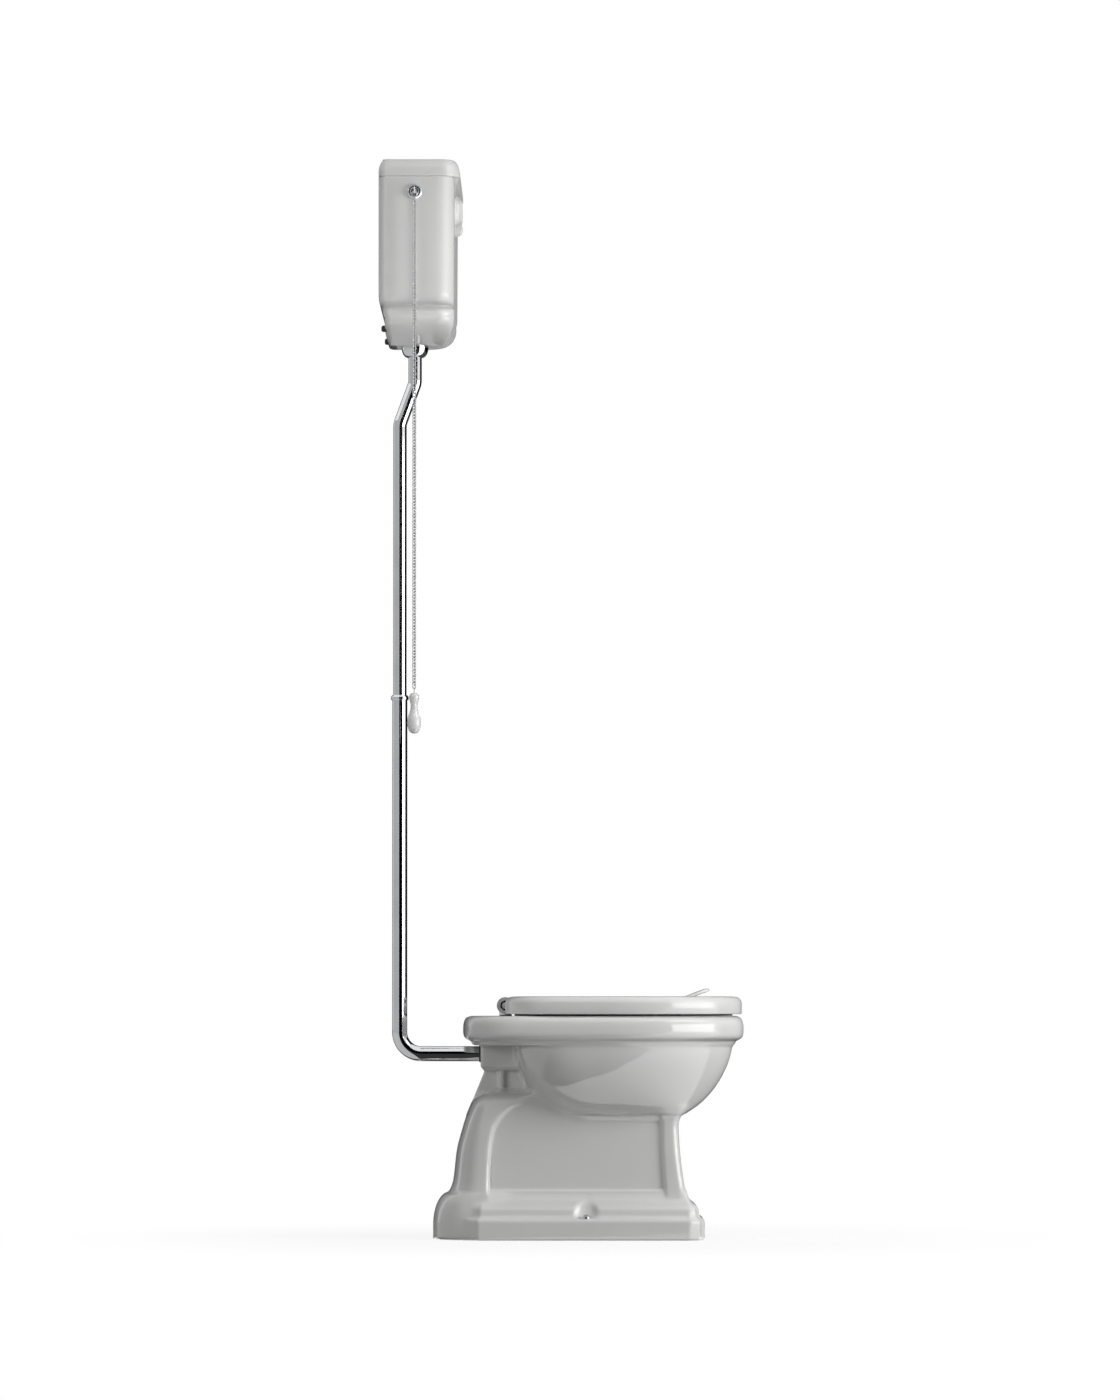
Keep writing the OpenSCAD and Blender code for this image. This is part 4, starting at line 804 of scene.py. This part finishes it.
def tank_skin(wall):
    """The tank's round bottom, lower body, cove and shoulder, moved in by a wall thickness."""
    rings = []
    for a in quarter(14):
        c = 1 - math.sin(a)
        rings.append(tank_ring(9 + 9 * c * c, 1.5 + 26 * c, LOWER_HW - 108 * c, wall,
                               OUTLET_Z + wall + 12 * (1 - c) + 30 * (1 - math.cos(a)), 32))
    for k, a in enumerate(quarter(8)):
        rings.append(tank_ring(7 - 3 * k / 8, 1.5, LOWER_HW + 12 * (1 - math.cos(a)), wall,
                               SHOULDER_Z - 14 + wall + 13.6 * math.sin(a)))
    rings.append(tank_ring(3, 1.5, TANK_HW - 26, wall, SHOULDER_Z + wall))
    for a in quarter(12, 1):
        c = 1 - math.sin(a)
        rings.append(tank_ring(3 * c, 0.7 + 0.8 * c, TANK_HW - 24 * c, wall,
                               SHOULDER_Z + wall + 20 * (1 - math.cos(a))))
    return rings


def make_tank():
    """Hollow tank, open at the top."""
    outside = [tank_ring(30, TANK_D - 94, 34, 0, OUTLET_Z, 20)] + tank_skin(0)
    outside += [tank_ring(0, 0, TANK_HW, 0, z) for z in (TANK_TOP - 60, TANK_TOP - 1.5)]
    outside += [tank_ring(0, 0, TANK_HW, 1.5, TANK_TOP), tank_ring(0, 0, TANK_HW, 7.5, TANK_TOP),
                tank_ring(0, 0, TANK_HW, TANK_WALL, TANK_TOP - 1.5)]
    inside = tank_skin(TANK_WALL)[::-1] + [tank_ring(32, TANK_D - 92, 30, 0, OUTLET_Z + TANK_WALL, 20)]
    loft("cistern_china", outside + inside, CHINA_MAT, "toilet", 35, replaces=("cistern_tank",))


def make_relief():
    """Generic shell between two scrolled leaves, raised on the tank's front."""
    wide, foot, sunk = 176, TANK_TOP - 80, 1.5
    fan_reach, fan_angle, flutes = 62, 62, 27.7
    ys = np.linspace(-wide / 2, wide / 2, 241)
    zs = np.linspace(foot - 8, TANK_TOP - 1, 131)
    y, z = np.meshgrid(ys, zs)

    def mound(distance, width, height):
        """Round-topped ridge with steep sides, sunk into the tank all round."""
        body = np.clip(1 - (distance / width) ** 2, 0, 1)
        return height * body ** 0.42 - sunk * (body <= 0)

    # shell: a fan of flutes round a hinge near the foot
    dz = z - foot - 6
    r, a = np.hypot(y, dz), np.degrees(np.arctan2(np.abs(y), dz))
    wave = np.cos(np.radians(a * flutes))
    reach = fan_reach * (1 - 0.16 * (a / fan_angle) ** 2) * (1 + 0.03 * wave)
    share = np.clip(r / reach, 0, 1.2)
    body = np.clip(np.minimum(1 - share, (fan_angle - a) / fan_angle * 1.2) * 5, 0, 1)
    shell = (8.5 + 3.5 * np.sin(np.pi * share ** 1.5)) * np.sqrt(body * (2 - body))
    shell -= 2.4 * np.clip(share * 1.4, 0, 1) * (0.5 - 0.5 * wave) * body
    shell = np.where((share < 1) & (a < fan_angle), shell, -sunk)
    # leaves: broad bands that run out from the foot, lift and curl back in at their ends
    leaf = np.full_like(shell, -sunk)
    for t in np.linspace(0, 1, 41):
        bend = np.pi * (0.5 + 1.55 * max(t - 0.45, 0) / 0.55)
        if t < 0.45:
            cy, cz = 8 + 108 * t, foot + 9 + 10 * np.sin(np.pi * t / 0.9)
        else:
            cy, cz = 56.6 - 17 * np.cos(bend), foot + 36 - 17 * np.sin(bend)
        size = 12.5 * (1 - 0.5 * t)
        d = np.hypot(np.abs(y) - cy, z - cz)
        leaf = np.maximum(leaf, mound(d, size, 9.5 - 1.5 * t))
    vein = np.hypot(np.abs(y) - 30, z - foot - 18)
    leaf = leaf - 0.8 * np.clip(1 - np.abs(vein - 9) / 3, 0, 1) * (leaf > 0)
    knob = mound(np.hypot(y, z - foot - 8), 13, 12.5)
    depth = np.maximum(np.maximum(shell, leaf), knob)
    for _ in range(4):
        depth[1:-1, 1:-1] = (depth[1:-1, 1:-1] * 2 + depth[:-2, 1:-1] + depth[2:, 1:-1] + depth[1:-1, :-2]
                             + depth[1:-1, 2:]) / 6
    points = [((TANK_D + depth[j, i]) * MM, y[j, i] * MM, z[j, i] * MM)
              for j in range(len(zs)) for i in range(len(ys))]
    n = len(ys)
    faces = []
    for j in range(len(zs) - 1):
        for i in range(n - 1):
            if depth[j:j + 2, i:i + 2].max() > 0.1 - sunk:
                faces.append((j * n + i, j * n + i + 1, (j + 1) * n + i + 1, (j + 1) * n + i))
    obj = piece("cistern_relief", points, faces, CHINA_MAT, "toilet")
    mesh = bmesh.new()
    mesh.from_mesh(obj.data)
    bmesh.ops.delete(mesh, geom=[v for v in mesh.verts if not v.link_faces], context="VERTS")
    mesh.to_mesh(obj.data)
    mesh.free()


def make_cistern_lid():
    """Lid with a lip that reaches into the tank."""
    def ring(inset, z):
        return box_ring(min(inset, 8), 148 - inset, 226 - inset, max(3, 14 - inset / 2),
                        max(38 - inset, 10), z)

    def lip(inset, z):
        return tank_ring(0, 0, TANK_HW, TANK_WALL + 1 + inset, z)

    rings = [ring(23, CISTERN_TOP - 10), ring(17, CISTERN_TOP - 13), ring(15, TANK_TOP + 2),
             lip(4, TANK_TOP - 5.5), lip(3, TANK_TOP - 6), lip(1, TANK_TOP - 6), lip(0, TANK_TOP - 5.5),
             lip(0, TANK_TOP + 0.15), ring(2, TANK_TOP + 0.15), ring(0.6, TANK_TOP + 0.6),
             ring(0, TANK_TOP + 1.6), ring(0, TANK_TOP + 5)]
    rings += [ring(14 * (1 - math.cos(a)), CISTERN_TOP - 26 + 25.6 * math.sin(a)) for a in quarter(16)]
    rings += [ring(19, CISTERN_TOP - 0.1), ring(26, CISTERN_TOP), ring(60, CISTERN_TOP)]
    loft("cistern_lid_china", rings, CHINA_MAT, "cistern_lid", 35, replaces=("cistern_lid",))


def make_bumpers():
    """Domed rubber buffers between the tank's lower part and the wall."""
    for side, name in ((-1, "wall_buffer_near"), (1, "wall_buffer_far")):
        dome = [(0.2, 2.5), (2.6, 2.6), (4.2, 3.1), (5.2, 4), (5.8, 5.2), (6, 7), (6, 12), (0.2, 12)]
        revolve(name, dome, (0, side * (LOWER_HW - 34), TANK_Z + 31), (1, 0, 0), RUBBER, "toilet",
                closed=False, replaces=("wall_bumpers",) if side < 0 else ())


make_tank()
make_relief()
make_cistern_lid()
make_bumpers()


# ---- flush pipe ----

def make_pipes():
    """Both flush pipes, the collar between them and the dome below the tank."""
    bend_top, bend_low, r = 1583, 1507, 34
    angle = math.degrees(math.atan((OUTLET_X - PIPE_X) / (bend_top - bend_low)))
    reach = r * math.tan(math.radians(angle / 2))
    high, low = (OUTLET_X - r, bend_top + reach), (PIPE_X + r, bend_low - reach)
    path = [(OUTLET_X, 0, OUTLET_Z - 5)] + arc(high, r, 0, -angle, 10) + arc(low, r, 180 - angle, 180, 10)
    path += [(PIPE_X, 0, 961)]
    loft("flush_pipe_upper_tube", sweep(path, 12.5) + sweep(path, 11.5)[::-1], CHROME, "toilet",
         35, closed=True, replaces=("flush_pipe_upper",))
    path = [(PIPE_X, 0, 998), (PIPE_X, 0, 390)] + arc((PIPE_X + 40, INLET_Z + 40), 40, 180, 270, 20)
    path += [(210, 0, INLET_Z)]
    loft("flush_pipe_lower_tube", sweep(path, 14) + sweep(path, 13)[::-1], CHROME, "toilet",
         35, closed=True, replaces=("flush_pipe_lower",))
    collar = [(14.1, 0), (15.2, 0), (16.1, 0.7), (16.4, 1.6), (16.4, 5.3), (16, 6.6), (15.2, 8), (14, 9.3),
              (12.65, 9.5), (12.65, 6.5), (14.1, 6.5)]
    revolve("joint_collar_ring", collar, (PIPE_X, 0, 995), (0, 0, 1), CHROME, "toilet",
            replaces=("joint_collar",))
    dome, inner = [[(12.65 + wide * math.cos(math.radians(a)), -deep * math.sin(math.radians(a)))
                    for a in range(0, 91, 6)] for wide, deep in ((12.3, 19), (10.8, 17.5))]
    revolve("outlet_dome", dome + inner[::-1], (OUTLET_X, 0, OUTLET_Z - 0.15), (0, 0, 1), CHROME, "toilet",
            replaces=("outlet_escutcheon",))


make_pipes()


# ---- lever rosette and pull handle ----

def make_pull():
    """Rosette where the lever leaves the tank, and the porcelain handle."""
    lever = (LEVER_X, -TANK_HW, LEVER_Z)
    rosette = [(0.1, -29), (10.4, -29), (10.4, -0.2), (13.4, -0.2), (14.2, 0.3), (14.2, 1.2), (13.4, 2.2),
               (11.6, 2.9), (9.8, 3.6), (8.6, 4.8), (8.2, 5.4), (7.6, 5.5), (7.0, 5.2), (6.6, 4.2),
               (6.6, -29)]
    revolve("lever_rosette", rosette, lever, (0, -1, 0), CHROME, "toilet")
    # painted shade: a black rubber sleeve lines the rosette's bore so that its hollow shows dark
    shade_sleeve = [(5.2, -20), (6.55, -20), (6.55, 4.6), (6.2, 5.3), (5.8, 5.3), (5.2, 4.4)]
    revolve("lever_rosette_shade_sleeve", shade_sleeve, lever, (0, -1, 0), RUBBER, "toilet")
    low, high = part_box("pull_handle")
    foot, tall, r = low[2] / MM, (high[2] - low[2]) / MM, (high[0] - low[0]) / MM / 2
    shares = [(0, 0.02), (0.008, 0.28), (0.03, 0.52), (0.075, 0.74), (0.13, 0.88), (0.2, 0.97),
              (0.29, 1), (0.37, 0.95), (0.45, 0.82), (0.53, 0.66), (0.6, 0.555), (0.67, 0.51),
              (0.73, 0.53), (0.8, 0.63), (0.86, 0.72), (0.905, 0.73), (0.945, 0.67), (0.975, 0.53),
              (0.993, 0.33), (1, 0.14)]
    heights = [t * t * (3 - 2 * t) for t in (k / 60 for k in range(61))]  # closer together at both ends
    radii = curve(shares, np.array(heights))
    revolve("pull_handle_china", [(float(q) * r, h * tall) for q, h in zip(radii, heights)],
            (LEVER_X, HOOK_Y, foot), (0, 0, 1), CHINA_MAT, "pull", closed=False, degrees=60,
            replaces=("pull_handle",))


make_pull()


# ---- CAD nodes that stay, with their finishes ----

FINISHES = {"chrome": CHROME, "brass": BRASS, "copper": COPPER, "rubber": RUBBER, "plastic": PLASTIC,
            "china": CHINA_MAT, "seat": SEAT_MAT, "handle": CHINA_MAT}
SATIN_NODES = ("hinge_pin", "hinge_pin_caps", "hinge_posts")
for part in frame["record"]["subparts"]:
    node = frame["nodes"][part["node"]]
    node.data.materials.clear()
    node.data.materials.append(SATIN if part["node"] in SATIN_NODES else FINISHES[part["material_slot"]])


# ---- floor, backdrop and light ----

WORLD_LEVEL = 0.115  # the white world as light on the object
FLOOR_Z, FLOOR_HALF, FLOOR_CENTRE = -0.0005, 40, (0.38, 0, 0)
CARD_X = 0.05  # all cards stand round this line over the pipe
GROUND_Z, GROUND_RADIUS = -0.003, 38.0


def plain_light():
    """Pale world: white where the camera, metal or glass sees it, dimmer as light on the object."""
    world = bpy.data.worlds.new("world")
    world.use_nodes = True
    bpy.context.scene.world = world
    tree = world.node_tree
    back = tree.nodes["Background"]
    back.inputs["Color"].default_value = (1, 1, 1, 1)
    path = tree.nodes.new("ShaderNodeLightPath").outputs
    seen = combine(tree, "MAXIMUM", path["Is Camera Ray"], path["Is Glossy Ray"])
    seen = combine(tree, "MAXIMUM", seen, path["Is Transmission Ray"])
    tree.links.new(spread(tree, seen, WORLD_LEVEL, 1.0, 0, 1), back.inputs["Strength"])


def make_floor():
    """White where the camera sees it, with the object's shadow, and greyer as bounce light."""
    mat, tree, shader = material("pale_floor", (0.6, 0.6, 0.6), 0.6, Specular_IOR_Level=0.0)
    path = tree.nodes.new("ShaderNodeLightPath").outputs
    seen = combine(tree, "MAXIMUM", path["Is Camera Ray"], path["Is Transmission Ray"])
    tone = tree.nodes.new("ShaderNodeMixRGB")
    tree.links.new(seen, tone.inputs["Fac"])
    for slot, scale, low, high in (("Color1", 3, 0.13, 0.15), ("Color2", 8, 0.9, 0.93)):
        tree.links.new(ramp(tree, noise(tree, scale, 3), (low,) * 3, (high,) * 3), tone.inputs[slot])
    tree.links.new(tone.outputs["Color"], shader.inputs["Base Color"])
    # the floor's own white takes over away from the object
    coords = tree.nodes.new("ShaderNodeTexCoord")
    away = tree.nodes.new("ShaderNodeVectorMath")
    away.operation = "DISTANCE"
    away.inputs[1].default_value = FLOOR_CENTRE
    tree.links.new(coords.outputs["Object"], away.inputs[0])
    fade = spread(tree, away.outputs["Value"], 0.84, 1.0, 0.3, 1.1)
    fade.node.interpolation_type = "SMOOTHSTEP"
    mix = tree.nodes.new("ShaderNodeMixShader")
    tree.links.new(combine(tree, "MULTIPLY", fade, seen), mix.inputs["Fac"])
    tree.links.new(shader.outputs["BSDF"], mix.inputs[1])
    tree.links.new(glow_shader(tree, 1.0), mix.inputs[2])
    tree.links.new(mix.outputs["Shader"], tree.nodes["Material Output"].inputs["Surface"])
    mesh = bpy.data.meshes.new("floor")
    corners = ((-1, -1), (1, -1), (1, 1), (-1, 1))
    mesh.from_pydata([(x * FLOOR_HALF, y * FLOOR_HALF, FLOOR_Z) for x, y in corners], [], [(0, 1, 2, 3)])
    mesh.materials.append(mat)
    floor = bpy.data.objects.new("floor", mesh)
    floor.visible_glossy = False
    bpy.context.scene.collection.objects.link(floor)


def area_light(name, place, aim, size, watts, spread_angle):
    """A soft lamp that reflections do not see; the cards make the reflections."""
    data = bpy.data.lights.new(name, "AREA")
    data.shape = "RECTANGLE"
    data.size, data.size_y = size
    data.energy = watts
    data.spread = math.radians(spread_angle)
    lamp = bpy.data.objects.new(name, data)
    lamp.visible_glossy = False
    lamp.location = place
    lamp.rotation_euler = (Vector(aim) - Vector(place)).to_track_quat("-Z", "Y").to_euler()
    bpy.context.scene.collection.objects.link(lamp)


def arc_card(name, radius, start, end, level, low, high):
    """An upright curved card that only reflections see, its angles counted from -Y towards +X."""
    mat = bpy.data.materials.new(name)
    mat.use_nodes = True
    tree = mat.node_tree
    tree.links.new(glow_shader(tree, level), tree.nodes["Material Output"].inputs["Surface"])
    steps = 16
    verts = []
    for k in range(steps + 1):
        a = math.radians(start + (end - start) * k / steps)
        x, y = CARD_X + radius * math.sin(a), -radius * math.cos(a)
        verts += [(x, y, low), (x, y, high)]
    faces = [(2 * k, 2 * k + 2, 2 * k + 3, 2 * k + 1) for k in range(steps)]
    mesh = bpy.data.meshes.new(name)
    mesh.from_pydata(verts, [], faces)
    mesh.materials.append(mat)
    card = bpy.data.objects.new(name, mesh)
    card.visible_camera = card.visible_diffuse = card.visible_shadow = card.visible_transmission = False
    bpy.context.scene.collection.objects.link(card)
    return card


def ground_card(name, level, start, end):
    """A slice of the floor as reflections see it."""
    mesh = arc_card(name, GROUND_RADIUS, start, end, level, GROUND_Z - 0.001, GROUND_Z).data
    rim = [tuple(v.co) for v in mesh.vertices][1::2]
    mesh.clear_geometry()
    mesh.from_pydata([(CARD_X, 0, GROUND_Z)] + rim, [], [tuple(range(len(rim) + 1))])


bpy.context.scene.view_settings.view_transform = "Standard"
plain_light()
make_floor()
# Lamps: key and side for the front, left and back for the wall side, top and high from above.
for lamp_row in [
    # name, place, aim, size, watts, spread in degrees
    ("key", (3.3, -1.35, 1.3), (0.4, 0, 0.75), (1.5, 2.4), 90, 180),
    ("side", (3.0, 2.6, 1.2), (0.4, 0, 0.7), (1.6, 2.4), 34, 180),
    ("high", (0.0, -3.2, 4.6), (0.3, 0, 0.7), (2.4, 2.0), 8, 180),
    ("top", (0.5, -0.9, 8.5), (0.3, 0, 0.5), (4.0, 4.0), 160, 180),
    ("left", (-2.4, -3.4, 0.9), (0.3, 0, 0.5), (2.0, 1.4), 36, 180),
    ("back", (-2.6, 3.4, 2.6), (0.3, 0, 0.8), (2.4, 2.4), 62, 180),
    ("under_cistern", (0.5, -1.6, 0.9), (0.08, 0, 1.66), (0.8, 0.8), 1.2, 70),
]:
    area_light(*lamp_row)
# Cards: dark ones are the chrome's dark bands, bright ones its windows.
for card_row in [
    # name, radius, start, end, level, low edge, high edge
    ("flag_front", 14.5, -11, 42, 0.0, -11, 11),
    ("flag_right", 7.0, 92, 158, 0.0, -9, 9),
    ("flag_edge", 7.0, 158, 182, 0.3, -9, 9),
    ("flag_left", 7.0, 182, 226, 0.0, -9, 9),
    ("grey_left", 9.0, -118, -14, 0.5, -9, 5),
    ("window_right", 6.0, 44, 84, 5.0, 0.0, 1.9),
    ("window_high", 6.0, 47, 80, 3.0, 3.8, 6.0),
]:
    arc_card(*card_row)
# Slices of ground keep the chrome's bands when it is seen from above.
for ground_row in [
    # name, level, start, end
    ("ground_left", 0.6, -134, -11),
    ("ground_front", 0.04, -11, 42),
    ("ground_mid", 1.7, 42, 90),
    ("ground_right", 0.08, 90, 178),
    ("ground_back", 0.5, 178, 186),
    ("ground_far", 0.08, 186, 226),
]:
    ground_card(*ground_row)
